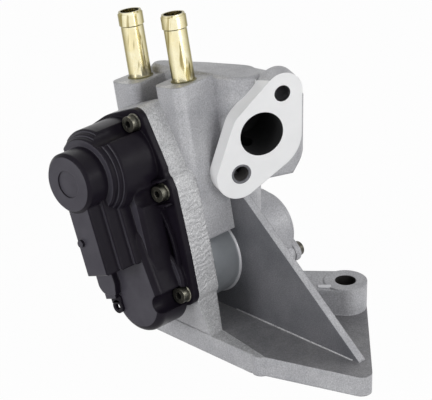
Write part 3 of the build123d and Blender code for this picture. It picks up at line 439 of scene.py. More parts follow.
CAST_ALLOY = CastAlloy("cast_alloy", (0.50, 0.50, 0.515), (0.41, 0.41, 0.43), 0.2, 0.44,
                       mottle_scale=55.0, edge_radius=0.0016, **BLASTED)
# Painted light: the actuator flange's rim takes a paler tone than the casting because it faces the lamps;
# its coarse tool lines are real.
CAST_LIT_RIM = CastAlloy("cast_rim_lit", (0.60, 0.60, 0.605), (0.49, 0.49, 0.50), 0.25, 0.40,
                     mottle_scale=90.0, edge_radius=0.0012, speckle=0.30, line_scale=110.0,
                     line_depth=0.0003, line_strength=0.6, **BLASTED)
# Painted shade: the web's faces take this darker tone for the shade that the cover, the actuator flange and
# the foot cast on them.
CAST_SHADE = CastAlloy("cast_painted_shade", (0.165, 0.165, 0.178), (0.115, 0.118, 0.130), 0.2, 0.44,
                      mottle_scale=45.0, edge_radius=0.0008, **BLASTED)
# Painted shade: the top of the foot takes this darker tone for the shade under the web, the leg and the
# cover.
FOOT_SHADE = CastAlloy("foot_painted_shade", (0.265, 0.262, 0.270), (0.190, 0.190, 0.200), 0.2, 0.44,
                      mottle_scale=45.0, edge_radius=0.0008, **BLASTED)
TURNED_NECK = Finish("turned_neck", (0.42, 0.44, 0.46), (0.34, 0.36, 0.38), 0.55, 0.28,
                     grain_scale=2200.0, grain_depth=0.00005, edge_radius=0.0004)
FACED_ALLOY = Finish("faced_alloy", (0.66, 0.66, 0.68), (0.58, 0.58, 0.60), 0.4, 0.36,
                     grain_scale=2200.0, grain_depth=0.00004, mottle_scale=70.0, edge_radius=0.0006)
FLANGE_WHITE = Finish("flange_bright", (0.96, 0.96, 0.96), (0.92, 0.92, 0.92), 0.05, 0.42,
                      grain_scale=2200.0, grain_strength=0.1, grain_depth=0.00002, mottle_scale=40.0,
                      edge_radius=0.0006)
# Soot black in the gas port and the gas ways; in the walls of the bolt holes the same black is painted
# shade.
SOOT_AND_SHADE_BLACK = Finish("soot_and_shade_black", (0.006, 0.006, 0.007), (0.004, 0.004, 0.005), 0.0, 0.85,
                    grain_strength=0.3, mottle_scale=120.0)
THREAD_DARK = Finish("thread_dark", (0.045, 0.042, 0.04), (0.02, 0.018, 0.018), 0.5, 0.50)
COVER_PLASTIC = Finish("cover_black", (0.0125, 0.0100, 0.0160), (0.0085, 0.0065, 0.0110), 0.0, 0.28,
                       grain_strength=0.25, mottle_scale=90.0, rough_drift=0.10, specular=0.10, **MOULDED)
# Painted light: the cover's faces that look ahead take this paler tone because they face the light from the
# left.
COVER_LIT_FRONT = Finish("cover_lit_front", (0.0600, 0.0560, 0.0700), (0.0460, 0.0420, 0.0550), 0.0, 0.40,
                     grain_strength=0.30, mottle_scale=70.0, specular=0.25, **MOULDED)
SCREW_STEEL = Finish("olive_screw", (0.27, 0.26, 0.21), (0.08, 0.08, 0.068), 0.9, 0.30, **MACHINED)
SCREW_DARK = Finish("dark_screw", (0.12, 0.11, 0.09), (0.05, 0.048, 0.04), 0.8, 0.36, **MACHINED)
# Painted shade: the near-black tone of the screws' sockets stands in for the shade in these recesses.
SOCKET_SHADE = Finish("socket_painted_shade", (0.02, 0.02, 0.018), (0.012, 0.012, 0.01), 0.3, 0.55)
SEAT_OLIVE = Finish("seat_olive", (0.21, 0.19, 0.085), (0.10, 0.09, 0.04), 0.6, 0.42)
ZINC_GOLD = PlatedTube("yellow_zinc", (1.0, 0.94, 0.68), (0.92, 0.82, 0.50), 1.0, 0.12,
                       grain_scale=1200.0, grain_strength=0.10, grain_depth=0.00003, mottle_scale=160.0)
PLUG_GOLD = Finish("yellow_plug", (0.72, 0.64, 0.40), (0.58, 0.50, 0.28), 0.8, 0.34)
GROUND_STEEL = Finish("ground_steel", (0.70, 0.70, 0.71), (0.60, 0.60, 0.61), 1.0, 0.28)
DRAWN_STEEL = Finish("drawn_steel", (0.56, 0.56, 0.57), (0.46, 0.46, 0.47), 1.0, 0.40)
HOT_STEEL = Finish("valve_steel", (0.52, 0.50, 0.47), (0.38, 0.36, 0.34), 1.0, 0.42)
GEAR_PLASTIC = Finish("gear_plastic", (0.70, 0.67, 0.57), (0.62, 0.59, 0.49), 0.0, 0.42)
SEAL_RUBBER = Finish("seal_rubber", (0.028, 0.028, 0.028), (0.020, 0.020, 0.020), 0.0, 0.66)
PINION_BRASS = Finish("pinion_brass", (0.80, 0.62, 0.30), (0.68, 0.50, 0.22), 1.0, 0.30)
BAR_COPPER = Finish("bar_copper", (0.78, 0.42, 0.26), (0.62, 0.30, 0.18), 1.0, 0.32)
BRUSH_CARBON = Finish("brush_carbon", (0.06, 0.06, 0.06), (0.04, 0.04, 0.04), 0.1, 0.60)
DARK_FERRITE = Finish("dark_ferrite", (0.085, 0.085, 0.09), (0.06, 0.06, 0.065), 0.2, 0.58)
OILED_BRONZE = Finish("oiled_bronze", (0.50, 0.38, 0.22), (0.36, 0.27, 0.15), 1.0, 0.45)
TINNED_COPPER = Finish("tinned_copper", (0.80, 0.79, 0.74), (0.70, 0.69, 0.64), 1.0, 0.26)
BOARD_MASK = Finish("board_mask", (0.03, 0.16, 0.09), (0.02, 0.12, 0.07), 0.0, 0.35)

NODE_FINISH = {
    CAST_ALLOY: ("valve_housing", "rear_cap"),
    COVER_PLASTIC: ("actuator_cover",),
    SCREW_STEEL: ("cover_screws",),
    SCREW_DARK: ("rear_screws",),
    ZINC_GOLD: ("coolant_tube_near", "coolant_tube_far"),
    PLUG_GOLD: ("core_plug",),
    GROUND_STEEL: ("output_spindle", "idler_pins", "motor_shaft", "cam_follower", "cross_pin",
                   "cam_roller_near", "cam_roller_far", "return_spring", "seat_washer",
                   "motor_snap_ring", "wave_washer"),
    DRAWN_STEEL: ("motor_armature", "motor_can", "motor_end_plate", "rear_gasket"),
    HOT_STEEL: ("poppet_valve", "seat_ring"),
    GEAR_PLASTIC: ("output_gear", "idler_gear_low", "idler_gear_high"),
    SEAL_RUBBER: ("cover_seal", "stem_seal"),
    PINION_BRASS: ("motor_pinion",),
    BAR_COPPER: ("motor_commutator",),
    BRUSH_CARBON: ("motor_brushes",),
    DARK_FERRITE: ("motor_magnets", "sensor_magnet"),
    OILED_BRONZE: ("stem_bush",),
    TINNED_COPPER: ("terminals",),
    BOARD_MASK: ("sensor_board",),
}


def finished(finish: Finish, shaders: Shaders) -> bpy.types.Material:
    """Return the material of a finish, which is made once.

    Args:
        finish: The finish.
        shaders: The shared group and the materials made so far.

    Returns:
        The material.
    """
    if finish.name not in shaders.made:
        shaders.made[finish.name] = finish.material(shaders)
    return shaders.made[finish.name]


def paint(obj: bpy.types.Object, mat: bpy.types.Material) -> None:
    """Give every slot of an object one material.

    Args:
        obj: The object.
        mat: The material.
    """
    if not obj.material_slots:
        obj.data.materials.append(mat)
    for place in obj.material_slots:
        place.material = mat


# ---- skins: merged copies of CAD nodes with smooth round stretches ---------------------------
@dataclass
class Skin:
    """A merged, smooth copy of a CAD node, which stands for it."""

    node: str
    slot: Slot
    finishes: tuple[Finish, ...]
    body: Body = Body.HOUSING
    smooth_under: float = math.radians(32.0)
    merge: float = 0.000004

    def build(self, shaders: Shaders) -> bpy.types.Object:
        """Copy the node's mesh, merge its loose triangles and smooth its round stretches.

        Args:
            shaders: The shared group and the materials made so far.

        Returns:
            The new object, which rides on its body.
        """
        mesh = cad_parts[self.node].data.copy()
        mesh.materials.clear()
        for finish in self.finishes:
            mesh.materials.append(finished(finish, shaders))
        bm = bmesh.new()
        bm.from_mesh(mesh)
        bmesh.ops.remove_doubles(bm, verts=bm.verts, dist=self.merge)
        for face in bm.faces:
            face.smooth = True
            face.material_index = self.finish_index(face.calc_center_median(), face.normal)
        bm.to_mesh(mesh)
        bm.free()
        if "custom_normal" in mesh.attributes:
            mesh.attributes.remove(mesh.attributes["custom_normal"])
        mesh.set_sharp_from_angle(angle=self.smooth_under)
        skin = bpy.data.objects.new(f"{self.node}_skin", mesh)
        bpy.context.scene.collection.objects.link(skin)
        weigh_normals(skin)
        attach(skin, self.body.value)
        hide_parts(self.node)
        return skin

    def finish_index(self, place: Vector, normal: Vector) -> int:
        """Choose the finish of a face.

        Args:
            place: Middle of the face.
            normal: Its normal.

        Returns:
            The place of the finish in the skin's own list.
        """
        return 0


def weigh_normals(obj: bpy.types.Object) -> None:
    """Let the large faces lead the normals, so that flat faces stay flat beside round ones.

    Args:
        obj: The object, whose mesh is swapped for one with the new normals.
    """
    weights = obj.modifiers.new("weights", "WEIGHTED_NORMAL")
    weights.mode = "FACE_AREA"
    weights.weight = 50
    weights.keep_sharp = True
    graph = bpy.context.evaluated_depsgraph_get()
    weighed = obj.evaluated_get(graph)
    mesh = bpy.data.meshes.new_from_object(weighed, preserve_all_data_layers=True, depsgraph=graph)
    obj.modifiers.clear()
    obj.data = mesh


class Cast(IntEnum):
    """Looks of the casting, which are the places in its list of finishes."""

    PLAIN = 0
    FACED = 1
    BRIGHT = 2
    # Soot in the gas port and ways; painted shade in the bolt holes.
    SOOT = 3
    THREAD = 4
    # Painted shade on the web's faces.
    WEB = 5
    # Painted light on the actuator flange's rim.
    RIM = 6
    NECK = 7
    # Painted shade on the top of the foot.
    FOOT = 8


CAST_LOOKS = {
    Cast.PLAIN: CAST_ALLOY,
    Cast.FACED: FACED_ALLOY,
    Cast.BRIGHT: FLANGE_WHITE,
    Cast.SOOT: SOOT_AND_SHADE_BLACK,
    Cast.THREAD: THREAD_DARK,
    Cast.WEB: CAST_SHADE,
    Cast.RIM: CAST_LIT_RIM,
    Cast.NECK: TURNED_NECK,
    Cast.FOOT: FOOT_SHADE,
}


@dataclass
class HousingSkin(Skin):
    """The casting, with its faced pads, its bright gas flange and its dark ways, with painted shade on the
    web, the foot top and the bolt holes, and painted light on the actuator flange's rim.
    """

    slack: float = 0.0002
    faced_from: float = 0.95
    level_from: float = 0.98
    flange_t: float = 0.0102
    flange_span: tuple[float, float] = (-0.0003, 0.0001)
    flange_top_from: float = 0.0030
    margin: float = 0.0003
    rim_back: float = -0.0211
    rim_under: float = 0.3
    foot_slack: float = 0.0004
    web_t: float = 0.0048
    web_from: float = -0.0100
    web_slack: float = 0.0003
    neck_end: float = 0.0005
    neck_slack: float = 0.0006
    neck_under: float = 0.2
    lug_bore: float = 0.0060
    bore_under: float = 0.5
    port_from: float = 0.0005
    port_depth: float = 0.0300
    way_low: tuple[float, ...] = (0.0052, -0.0170, 0.0500)
    way_high: tuple[float, ...] = (0.0196, 0.0060, 0.1350)
    way_top: float = 0.1200
    way_roof: float = 0.5
    outline: tuple[tuple[float, float, float], ...] = (
        (-0.012393, -0.021554, 0.0126), (0.011993, 0.021154, 0.0106),
        (0.0, 0.0, 0.0174), (0.003, -0.003, 0.0195),
    )
    outline_steps: int = 48

    def finish_index(self, place: Vector, normal: Vector) -> int:
        """Choose the finish of a face.

        Args:
            place: Middle of the face.
            normal: Its normal.

        Returns:
            The look of the face.
        """
        flange = self.flange_look(place, normal)
        if flange is not None:
            return flange
        if normal.z < -self.faced_from and place.z < self.slack:
            return Cast.FACED
        for pad in (LUG_PLACE, EAR_PLACE):
            from_axis = math.hypot(place.x - pad.x, place.y - pad.y)
            if from_axis < self.lug_bore and abs(normal.z) < self.bore_under:
                return Cast.THREAD
        # Painted light: the rim of the actuator flange takes the paler lit tone.
        if JOINT_X + self.slack < place.x < self.rim_back and abs(normal.x) < self.rim_under:
            return Cast.RIM
        # Painted shade: the top of the foot takes the darker shade tone.
        if normal.z > self.level_from and abs(place.z - FOOT_TOP) < self.foot_slack:
            return Cast.FOOT
        # Painted shade: the web's faces take the darker shade tone.
        off_web = min(abs(place.x), abs(place.x - self.web_t))
        if off_web < self.web_slack and place.y < self.web_from and abs(normal.x) > self.level_from:
            return Cast.WEB
        off_neck = abs(math.hypot(place.y, place.z - STEM_Z) - NECK_R)
        on_neck = off_neck < self.neck_slack and abs(normal.x) < self.neck_under
        if on_neck and self.rim_back - self.slack < place.x < self.neck_end:
            return Cast.NECK
        return Cast.PLAIN

    def flange_look(self, place: Vector, normal: Vector) -> int | None:
        """Choose the finish of a face on the gas flange or in the gas ways.

        Args:
            place: Middle of the face.
            normal: Its normal.

        Returns:
            The look of the face, or None where it lies elsewhere.
        """
        away = place - GAS_FACE
        depth = -away.dot(GAS_NORMAL)
        across = away.dot(GAS_ACROSS)
        flat = abs(normal.dot(GAS_NORMAL)) > self.faced_from
        in_port = math.hypot(across, away.z) < PORT_R + self.slack
        if in_port and self.port_from < depth < self.port_depth:
            return Cast.SOOT
        # Painted shade: the walls of the bolt holes take the black tone.
        in_bolt = any(math.hypot(across - u, away.z - w) < BOLT_R + self.slack for u, w in GAS_BOLTS)
        if in_bolt and not flat and -self.slack < depth < self.flange_t:
            return Cast.SOOT
        in_way = all(low < at < high for low, at, high in zip(self.way_low, place, self.way_high))
        if in_way and depth > self.flange_t and (normal.z < self.way_roof or place.z < self.way_top):
            return Cast.SOOT
        front, back = self.flange_span
        if front < depth < self.flange_t + back and self.in_outline(across, away.z):
            on_top = not flat and normal.z > 0.0 and across > self.flange_top_from
            return Cast.PLAIN if on_top else Cast.BRIGHT
        return None

    def in_outline(self, across: float, up: float) -> bool:
        """Tell whether a point of the flange's plane lies inside the wrap of its outline's rounds.

        Args:
            across: Distance across the flange from its middle.
            up: Distance up from its middle.

        Returns:
            True if it lies inside.
        """
        for step in range(self.outline_steps):
            angle = math.tau * step / self.outline_steps
            c, s = math.cos(angle), math.sin(angle)
            reach = max(u * c + w * s + r for u, w, r in self.outline)
            if across * c + up * s > reach + self.margin:
                return False
        return True


@dataclass
class SpringSkin(Skin):
    """The return spring."""

    joint: str = "valve_slide"
    lift: float = 0.005

    def build(self, shaders: Shaders) -> bpy.types.Object:
        """Copy the spring and give the copy a mesh of its own.

        Args:
            shaders: The shared group and the materials made so far.

        Returns:
            The new object.
        """
        skin = super().build(shaders)
        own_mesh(skin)
        return skin


@dataclass
class CoverSkin(Skin):
    """The moulded cover, with painted light on the faces that look ahead, which take a paler tone."""

    ahead_from: float = 0.97
    over_rim: float = 0.0008

    def finish_index(self, place: Vector, normal: Vector) -> int:
        """Choose the finish of a face.

        Args:
            place: Middle of the face.
            normal: Its normal.

        Returns:
            1 for a front with painted light, 0 for the rest.
        """
        # Painted light: faces that look ahead take the paler tone.
        return int(normal.x < -self.ahead_from and place.x < RIM_FRONT_X - self.over_rim)


@dataclass
class ScrewSkin(Skin):
    """The cover screws, with painted shade in their sockets."""

    socket_r: float = 0.0023

    def finish_index(self, place: Vector, normal: Vector) -> int:
        """Choose the finish of a face.

        Args:
            place: Middle of the face.
            normal: Its normal.

        Returns:
            1 for a socket with painted shade, 0 for olive steel.
        """
        for across, along in SCREW_PLACES:
            axis = drive_frame(across, along, place.x).translation
            # Painted shade: faces in a screw's socket take the near-black tone.
            if math.hypot(place.y - axis.y, place.z - axis.z) < self.socket_r and place.x < RIM_FRONT_X:
                return 1
        return 0


# ---- fittings: small pieces of the scene alone -------------------------------------------------
@dataclass
class Fittings:
    """Small pieces that are modelled here, in one mesh for each finish."""

    name: str
    finish: Finish
    slot: Slot
    body: Body = Body.HOUSING
    smooth_under: float = math.radians(35.0)

    def shape(self, bm: bmesh.types.BMesh) -> None:
        """Model the pieces.

        Args:
            bm: The mesh that takes them.
        """

    def build(self, shaders: Shaders) -> bpy.types.Object:
        """Model the pieces and dress them.

        Args:
            shaders: The shared group and the materials made so far.

        Returns:
            The new object, which rides on its body.
        """
        bm = bmesh.new()
        self.shape(bm)
        bmesh.ops.remove_doubles(bm, verts=bm.verts, dist=WELD)
        bmesh.ops.recalc_face_normals(bm, faces=bm.faces)
        for face in bm.faces:
            face.smooth = True
        mesh = bpy.data.meshes.new(self.name)
        bm.to_mesh(mesh)
        bm.free()
        mesh.set_sharp_from_angle(angle=self.smooth_under)
        mesh.materials.append(finished(self.finish, shaders))
        made = bpy.data.objects.new(self.name, mesh)
        bpy.context.scene.collection.objects.link(made)
        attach(made, self.body.value)
        log.info("made %s: %d faces", self.name, len(mesh.polygons))
        return made

    @staticmethod
    def turned(bm: bmesh.types.BMesh, section: tuple, where: Matrix, turn: float = math.tau,
               steps: int = 40, rise: float = 0.0) -> None:
        """Turn a closed section about the z axis of a frame.

        Args:
            bm: The mesh that takes the shape.
            section: Corners of the section, as radius and height.
            where: The frame.
            turn: Angle of the turn.
            steps: Steps of the turn.
            rise: Climb along the axis over the whole turn.
        """
        part = bmesh.new()
        corners = [part.verts.new((r, 0.0, z)) for r, z in section]
        edges = [part.edges.new((a, b)) for a, b in zip(corners, corners[1:] + corners[:1])]
        start = part.faces.new(corners) if turn < math.tau or rise else None
        bmesh.ops.spin(part, geom=corners + edges, cent=(0.0, 0.0, 0.0), axis=(0.0, 0.0, 1.0),
                       dvec=(0.0, 0.0, rise / steps), angle=turn, steps=steps)
        if start is not None:
            loose = [e for e in part.edges if e.is_boundary]
            bmesh.ops.edgenet_fill(part, edges=loose)
        bmesh.ops.remove_doubles(part, verts=part.verts, dist=WELD)
        Fittings.join(bm, part, where)

    @staticmethod
    def bead(middle: float, radius: float) -> tuple[tuple[float, float], ...]:
        """Return the round section of a bead, for turning.

        Args:
            middle: Distance of its middle from the axis.
            radius: Its own radius.

        Returns:
            The corners of the section, as radius and height.
        """
        angles = [math.tau * k / BEAD_SIDES for k in range(BEAD_SIDES)]
        return tuple((middle + radius * math.cos(a), radius * math.sin(a)) for a in angles)

    @staticmethod
    def block(bm: bmesh.types.BMesh, low: tuple, high: tuple, where: Matrix, edge: float) -> None:
        """Add a block with rounded edges between two corners of a frame.

        Args:
            bm: The mesh that takes the block.
            low: Low corner.
            high: High corner.
            where: The frame.
            edge: Width of its rounded edges.
        """
        part = bmesh.new()
        size = [b - a for a, b in zip(low, high)]
        middle = [(a + b) / 2 for a, b in zip(low, high)]
        bmesh.ops.create_cube(part, size=1.0)
        bmesh.ops.scale(part, verts=part.verts, vec=size)
        bmesh.ops.translate(part, verts=part.verts, vec=middle)
        bmesh.ops.bevel(part, geom=part.edges[:], offset=edge, segments=2, profile=0.5, affect="EDGES",
                        material=-1)
        Fittings.join(bm, part, where)

    @staticmethod
    def join(bm: bmesh.types.BMesh, part: bmesh.types.BMesh, where: Matrix) -> None:
        """Move a shape to its place and add it to a mesh.

        Args:
            bm: The mesh that takes the shape.
            part: The shape, which is used up.
            where: The frame of its place.
        """
        bmesh.ops.transform(part, matrix=where, verts=part.verts)
        mesh = bpy.data.meshes.new("part")
        part.to_mesh(mesh)
        part.free()
        bm.from_mesh(mesh)
        bpy.data.meshes.remove(mesh)


@dataclass
class CoverFins(Fittings):
    """Fins beside the middle screw pockets, bowed ribs on the rim and the latch eye."""

    pocket: tuple[float, float] = (0.0222, 0.0452)
    sink: float = 0.0004
    fin_gap: float = 0.0064
    fin_t: float = 0.0013
    fin_across: tuple[float, float] = (-0.0068, 0.0050)
    fin_out: float = 0.0046
    fin_edge: float = 0.0004
    rib_inset: float = 0.0400
    rib_middle: float = 0.0180
    rib_r: float = 0.0602
    rib_ends: tuple[float, float] = (math.radians(-13.0), math.radians(18.0))
    rib_out: float = 0.0026
    eye: tuple[float, float] = (-0.0150, -0.0092)
    eye_r: tuple[float, float] = (0.0017, 0.0036)
    eye_x: float = -0.0572
    eye_t: float = 0.0020
    root_from: float = 0.55
    root_out: float = 0.0020
    root_edge: float = 0.0003

    def shape(self, bm: bmesh.types.BMesh) -> None:
        """Model the fins, the ribs and the eye.

        Args:
            bm: The mesh that takes them.
        """
        for hand in (1.0, -1.0):
            seat = drive_frame(hand * self.pocket[0], self.pocket[1], RIM_FRONT_X)
            low, high = sorted(hand * end for end in self.fin_across)
            for middle in (-self.fin_gap, self.fin_gap):
                self.block(bm, (low, middle - self.fin_t / 2, -self.sink),
                           (high, middle + self.fin_t / 2, self.fin_out), seat, self.fin_edge)
        inner, outer = self.rib_r, self.rib_r + self.fin_t
        section = ((inner, -self.sink), (outer, -self.sink), (outer, self.rib_out), (inner, self.rib_out))
        first, last = self.rib_ends
        for hand, angle in ((1.0, 0.0), (-1.0, math.pi)):
            bow = drive_frame(-hand * self.rib_inset, self.rib_middle, RIM_FRONT_X)
            start = bow @ Matrix.Rotation(angle + hand * first, 4, "Z")
            self.turned(bm, section, start, hand * (last - first), steps=24)
        hang = drive_frame(*self.eye, self.eye_x)
        low, high = self.eye_r
        self.turned(bm, ((low, 0.0), (high, 0.0), (high, self.eye_t), (low, self.eye_t)), hang, steps=32)
        self.block(bm, (-high, high * self.root_from, 0.0), (high, high + self.root_out, self.eye_t),
                   hang, self.root_edge)


@dataclass
class ScrewWashers(Fittings):
    """Washers under the heads of the cover screws."""

    bore: float = 0.0040
    rim: float = 0.0047
    thick: float = 0.0006
    chamfer: float = 0.0003
    shoulder: float = 0.6

    def shape(self, bm: bmesh.types.BMesh) -> None:
        """Model one washer under each head.

        Args:
            bm: The mesh that takes them.
        """
        section = ((self.bore, 0.0), (self.rim, 0.0), (self.rim, self.thick * self.shoulder),
                   (self.rim - self.chamfer, self.thick), (self.bore, self.thick))
        for across, along in SCREW_PLACES:
            self.turned(bm, section, drive_frame(across, along, RIM_FRONT_X), steps=32)


@dataclass
class FlangeThread(Fittings):
    """Thread in the lower bolt hole of the gas flange."""

    pitch: float = 0.00125
    turns: int = 7
    from_face: float = 0.0015
    root: float = 0.0001
    crest: float = 0.0006
    ridge: float = 0.42
    steps_per_turn: int = 24

    def shape(self, bm: bmesh.types.BMesh) -> None:
        """Model the thread as one ridge that winds down the hole.

        Args:
            bm: The mesh that takes it.
        """
        across, up = GAS_BOLTS[0]
        length = self.pitch * self.turns
        where = gas_frame(across, up, self.from_face + length)
        half = self.pitch * self.ridge
        section = ((BOLT_R + self.root, -half), (BOLT_R + self.root, half), (BOLT_R - self.crest, 0.0))
        self.turned(bm, section, where, math.tau * self.turns, self.steps_per_turn * self.turns, length)


@dataclass
class FlangeChamfer(Fittings):
    """Chamfer round the lower bolt hole of the gas flange, with painted shade in the web's darker tone."""

    width: float = 0.0010
    lip: float = 0.0003
    depth: float = 0.0009
    rim: float = 0.0001
    proud: float = 0.00006

    def shape(self, bm: bmesh.types.BMesh) -> None:
        """Model the chamfer as a thin cone ring that ends in the hole.

        Args:
            bm: The mesh that takes it.
        """
        section = ((BOLT_R - self.lip, -self.depth), (BOLT_R + self.width, -self.rim),
                   (BOLT_R + self.width, self.proud), (BOLT_R, self.proud), (BOLT_R - self.lip, -self.lip))
        self.turned(bm, section, gas_frame(*GAS_BOLTS[0]))


@dataclass
class NeckBead(Fittings):
    """Bright bead where the turned neck meets the web: a painted highlight in the pale faced tone."""

    bead_r: float = 0.0010
    reach: tuple[float, float] = (math.radians(186.0), math.radians(338.0))

    def shape(self, bm: bmesh.types.BMesh) -> None:
        """Model the bead on the near side of the neck.

        Args:
            bm: The mesh that takes it.
        """
        first, last = self.reach
        stem = Matrix.Translation((0.0, 0.0, STEM_Z)) @ Matrix.Rotation(math.pi / 2, 4, "Y")
        self.turned(bm, self.bead(NECK_R, self.bead_r), stem @ Matrix.Rotation(first, 4, "Z"), last - first)


@dataclass
class WebBead(Fittings):
    """Thin bead along the foot of the web, on its near side: a painted highlight in the rim's paler tone.
    """

    bead_r: float = 0.0005
    ends: tuple[float, float] = (-0.0995, -0.0185)
    rounding: float = 0.6

    def shape(self, bm: bmesh.types.BMesh) -> None:
        """Model the bead as a thin bar with rounded edges.

        Args:
            bm: The mesh that takes it.
        """
        r = self.bead_r
        near, far = self.ends
        self.block(bm, (-r, near, FOOT_TOP - r), (r, far, FOOT_TOP + r), Matrix(), r * self.rounding)


@dataclass
class LugPad(Fittings):
    """Small faced pad on the arm of the tall lug."""

    away: tuple[float, float, float] = (-0.0123, 0.0039, -0.0005)
    size: tuple[float, float, float] = (0.0072, 0.0032, 0.0011)
    turn: float = math.radians(134.0)
    edge: float = 0.0003

    def shape(self, bm: bmesh.types.BMesh) -> None:
        """Model the pad.

        Args:
            bm: The mesh that takes it.
        """
        where = Matrix.Translation(LUG_PLACE + Vector(self.away)) @ Matrix.Rotation(self.turn, 4, "Z")
        half = [length / 2 for length in self.size]
        self.block(bm, tuple(-h for h in half), tuple(half), where, self.edge)


@dataclass
class TubeSeats(Fittings):
    """Sealing rings where the coolant tubes enter the jacket."""

    ring_middle: float = 0.0061
    ring_r: float = 0.00065

    def shape(self, bm: bmesh.types.BMesh) -> None:
        """Model one ring round the foot of each tube.

        Args:
            bm: The mesh that takes them.
        """
        for across in TUBE_ACROSS:
            self.turned(bm, self.bead(self.ring_middle, self.ring_r), jacket_frame(across, BLOCK_TOP))


# ---- studio ----------------------------------------------------------------------------------
@dataclass(frozen=True)
class Lamp:
    """One square lamp that faces the object."""

    name: str
    place: tuple[float, float, float]
    size: float
    power: float

    def build(self, aim: Vector) -> None:
        """Hang the lamp.

        Args:
            aim: The point that it faces.
        """
        data = bpy.data.lights.new(f"lamp_{self.name}", "AREA")
        data.energy = self.power
        data.size = self.size
        lamp = bpy.data.objects.new(f"lamp_{self.name}", data)
        place = Vector(self.place)
        turn = (aim - place).to_track_quat("-Z", "Y").to_matrix().to_4x4()
        lamp.matrix_world = Matrix.Translation(place) @ turn
        bpy.context.scene.collection.objects.link(lamp)


def seen_rays(nodes: bpy.types.Nodes, link: Callable) -> bpy.types.NodeSocket:
    """Mark the rays by which a surface is seen: those of the camera, of gloss and through glass.

    Args:
        nodes: Nodes of the tree.
        link: Link call of the tree.

    Returns:
        A socket that is 1 for such a ray and 0 for any other.
    """
    path = add_node(nodes, "LightPath").outputs
    seen = path["Is Camera Ray"]
    for label in ("Is Glossy Ray", "Is Transmission Ray"):
        either = add_node(nodes, "Math", operation="MAXIMUM")
        link(seen, either.inputs[0])
        link(path[label], either.inputs[1])
        seen = either.outputs["Value"]
    return seen


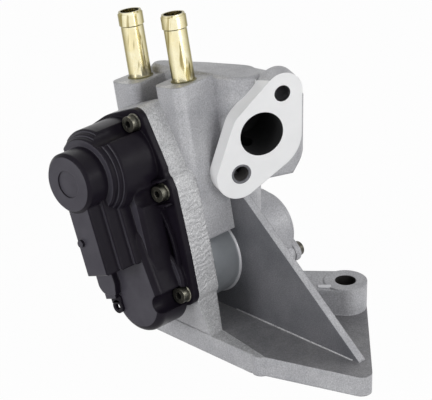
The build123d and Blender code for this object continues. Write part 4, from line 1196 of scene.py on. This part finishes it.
@dataclass
class Studio:
    """Pale floor, soft lamps, white surroundings and the camera."""

    floor_half: float = 3.0
    floor_z: float = -0.0004
    floor_grey: float = 0.86
    floor_white: float = 0.97
    camera_at: tuple[float, float, float] = (-0.749875, -0.724400, 0.571346)
    camera_right: tuple[float, float, float] = (0.689315, -0.724396, -0.009760)
    camera_forward: tuple[float, float, float] = (0.649795, 0.624171, -0.433794)
    lens: float = 183.33
    sensor: float = 36.0
    sky: tuple[float, float, float] = (0.97, 0.98, 1.0)
    ambient: float = 0.56
    zenith: float = 0.25
    aim: tuple[float, float, float] = (0.0, -0.02, 0.07)
    lamps: tuple[Lamp, ...] = (
        Lamp("key", (-0.10, -1.10, 0.40), 0.50, 3.4),
        Lamp("left", (-1.10, 0.15, 0.35), 0.40, 4.0),
        Lamp("top", (0.10, 0.10, 1.25), 0.70, 0.3),
        Lamp("right", (0.70, -0.60, 0.40), 0.30, 1.3),
        Lamp("back", (0.45, 0.95, 0.70), 0.60, 0.8),
    )

    def build(self) -> None:
        """Build the floor, the world, the lamps and the camera."""
        self.build_floor()
        self.build_world()
        for lamp in self.lamps:
            lamp.build(Vector(self.aim))
        self.build_camera()

    def build_floor(self) -> None:
        """Lay the floor: white to the camera, with the soft shadow kept."""
        mesh = bpy.data.meshes.new("floor")
        bm = bmesh.new()
        bmesh.ops.create_grid(bm, x_segments=1, y_segments=1, size=self.floor_half)
        bmesh.ops.translate(bm, verts=bm.verts, vec=(0.0, 0.0, self.floor_z))
        bm.to_mesh(mesh)
        bm.free()
        floor = bpy.data.objects.new("floor", mesh)
        bpy.context.scene.collection.objects.link(floor)
        surface = Surface.start("floor_pale")
        nodes, link, shader = surface.nodes, surface.link, surface.shader
        shader.inputs["Base Color"].default_value = (self.floor_grey,) * 3 + (1.0,)
        shader.inputs["Roughness"].default_value = 0.85
        shader.inputs["Specular IOR Level"].default_value = 0.1
        glow = add_node(nodes, "Emission", {"Color": (1.0, 1.0, 1.0, 1.0), "Strength": 1.0})
        share = add_node(nodes, "Math", {1: self.floor_white}, operation="MULTIPLY")
        mix = add_node(nodes, "MixShader")
        link(seen_rays(nodes, link), share.inputs[0])
        link(share.outputs["Value"], mix.inputs["Fac"])
        link(shader.outputs["BSDF"], mix.inputs[1])
        link(glow.outputs["Emission"], mix.inputs[2])
        link(mix.outputs["Shader"], nodes["Material Output"].inputs["Surface"])
        paint(floor, surface.material)

    def build_world(self) -> None:
        """Light the surroundings softly and show them white to the camera and in reflections."""
        world = bpy.data.worlds.new("surroundings")
        bpy.context.scene.world = world
        world.use_nodes = True
        nodes = world.node_tree.nodes
        link = world.node_tree.links.new
        soft = nodes["Background"]
        soft.inputs["Color"].default_value = (*self.sky, 1.0)
        coords = add_node(nodes, "TexCoord")
        parts = add_node(nodes, "SeparateXYZ")
        fall = add_node(nodes, "MapRange", {"To Min": self.ambient, "To Max": self.ambient * self.zenith})
        white = add_node(nodes, "Background", {"Color": (1.0, 1.0, 1.0, 1.0), "Strength": 1.0})
        mix = add_node(nodes, "MixShader")
        link(coords.outputs["Generated"], parts.inputs["Vector"])
        link(parts.outputs["Z"], fall.inputs["Value"])
        link(fall.outputs["Result"], soft.inputs["Strength"])
        link(seen_rays(nodes, link), mix.inputs["Fac"])
        link(soft.outputs["Background"], mix.inputs[1])
        link(white.outputs["Background"], mix.inputs[2])
        link(mix.outputs["Shader"], nodes["World Output"].inputs["Surface"])

    def build_camera(self) -> None:
        """Place the camera from its right and forward directions."""
        data = bpy.data.cameras.new("camera")
        data.lens = self.lens
        data.sensor_width = self.sensor
        camera = bpy.data.objects.new("camera", data)
        back = -Vector(self.camera_forward).normalized()
        right = Vector(self.camera_right).normalized()
        turn = Matrix((right, back.cross(right), back)).transposed().to_4x4()
        camera.matrix_world = Matrix.Translation(self.camera_at) @ turn
        bpy.context.scene.collection.objects.link(camera)
        bpy.context.scene.camera = camera


def main() -> None:
    """Dress every node, build the skins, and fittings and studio."""
    logging.basicConfig(level=logging.INFO)
    bpy.context.scene.view_settings.view_transform = "Standard"
    shaders = Shaders()
    for finish, nodes in NODE_FINISH.items():
        mat = finished(finish, shaders)
        for node in nodes:
            paint(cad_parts[node], mat)
            log.info("dressed %s", node)
    for piece in (
        HousingSkin("valve_housing", Slot.CAST, tuple(CAST_LOOKS[look] for look in Cast)),
        CoverSkin("actuator_cover", Slot.COVER, (COVER_PLASTIC, COVER_LIT_FRONT)),
        ScrewSkin("cover_screws", Slot.SCREW, (SCREW_STEEL, SOCKET_SHADE)),
        SpringSkin("return_spring", Slot.STEEL, (GROUND_STEEL,)),
        Skin("coolant_tube_near", Slot.TUBE, (ZINC_GOLD,)),
        Skin("coolant_tube_far", Slot.TUBE, (ZINC_GOLD,)),
        CoverFins("cover_fins", COVER_PLASTIC, Slot.COVER),
        ScrewWashers("screw_washers", SCREW_STEEL, Slot.SCREW),
        FlangeThread("flange_thread", THREAD_DARK, Slot.CAST),
        # The flange chamfer takes the web's painted shade tone.
        FlangeChamfer("flange_chamfer", CAST_SHADE, Slot.CAST),
        # The neck bead's pale faced tone is a painted highlight on the fillet.
        NeckBead("neck_bead", FACED_ALLOY, Slot.CAST),
        # The web bead wears the rim's painted light as a painted highlight line.
        WebBead("web_bead", CAST_LIT_RIM, Slot.CAST),
        LugPad("lug_pad", FACED_ALLOY, Slot.CAST),
        TubeSeats("tube_seats", SEAT_OLIVE, Slot.TUBE),
    ):
        piece.build(shaders)
    Studio().build()


if __name__ == "__main__":
    main()
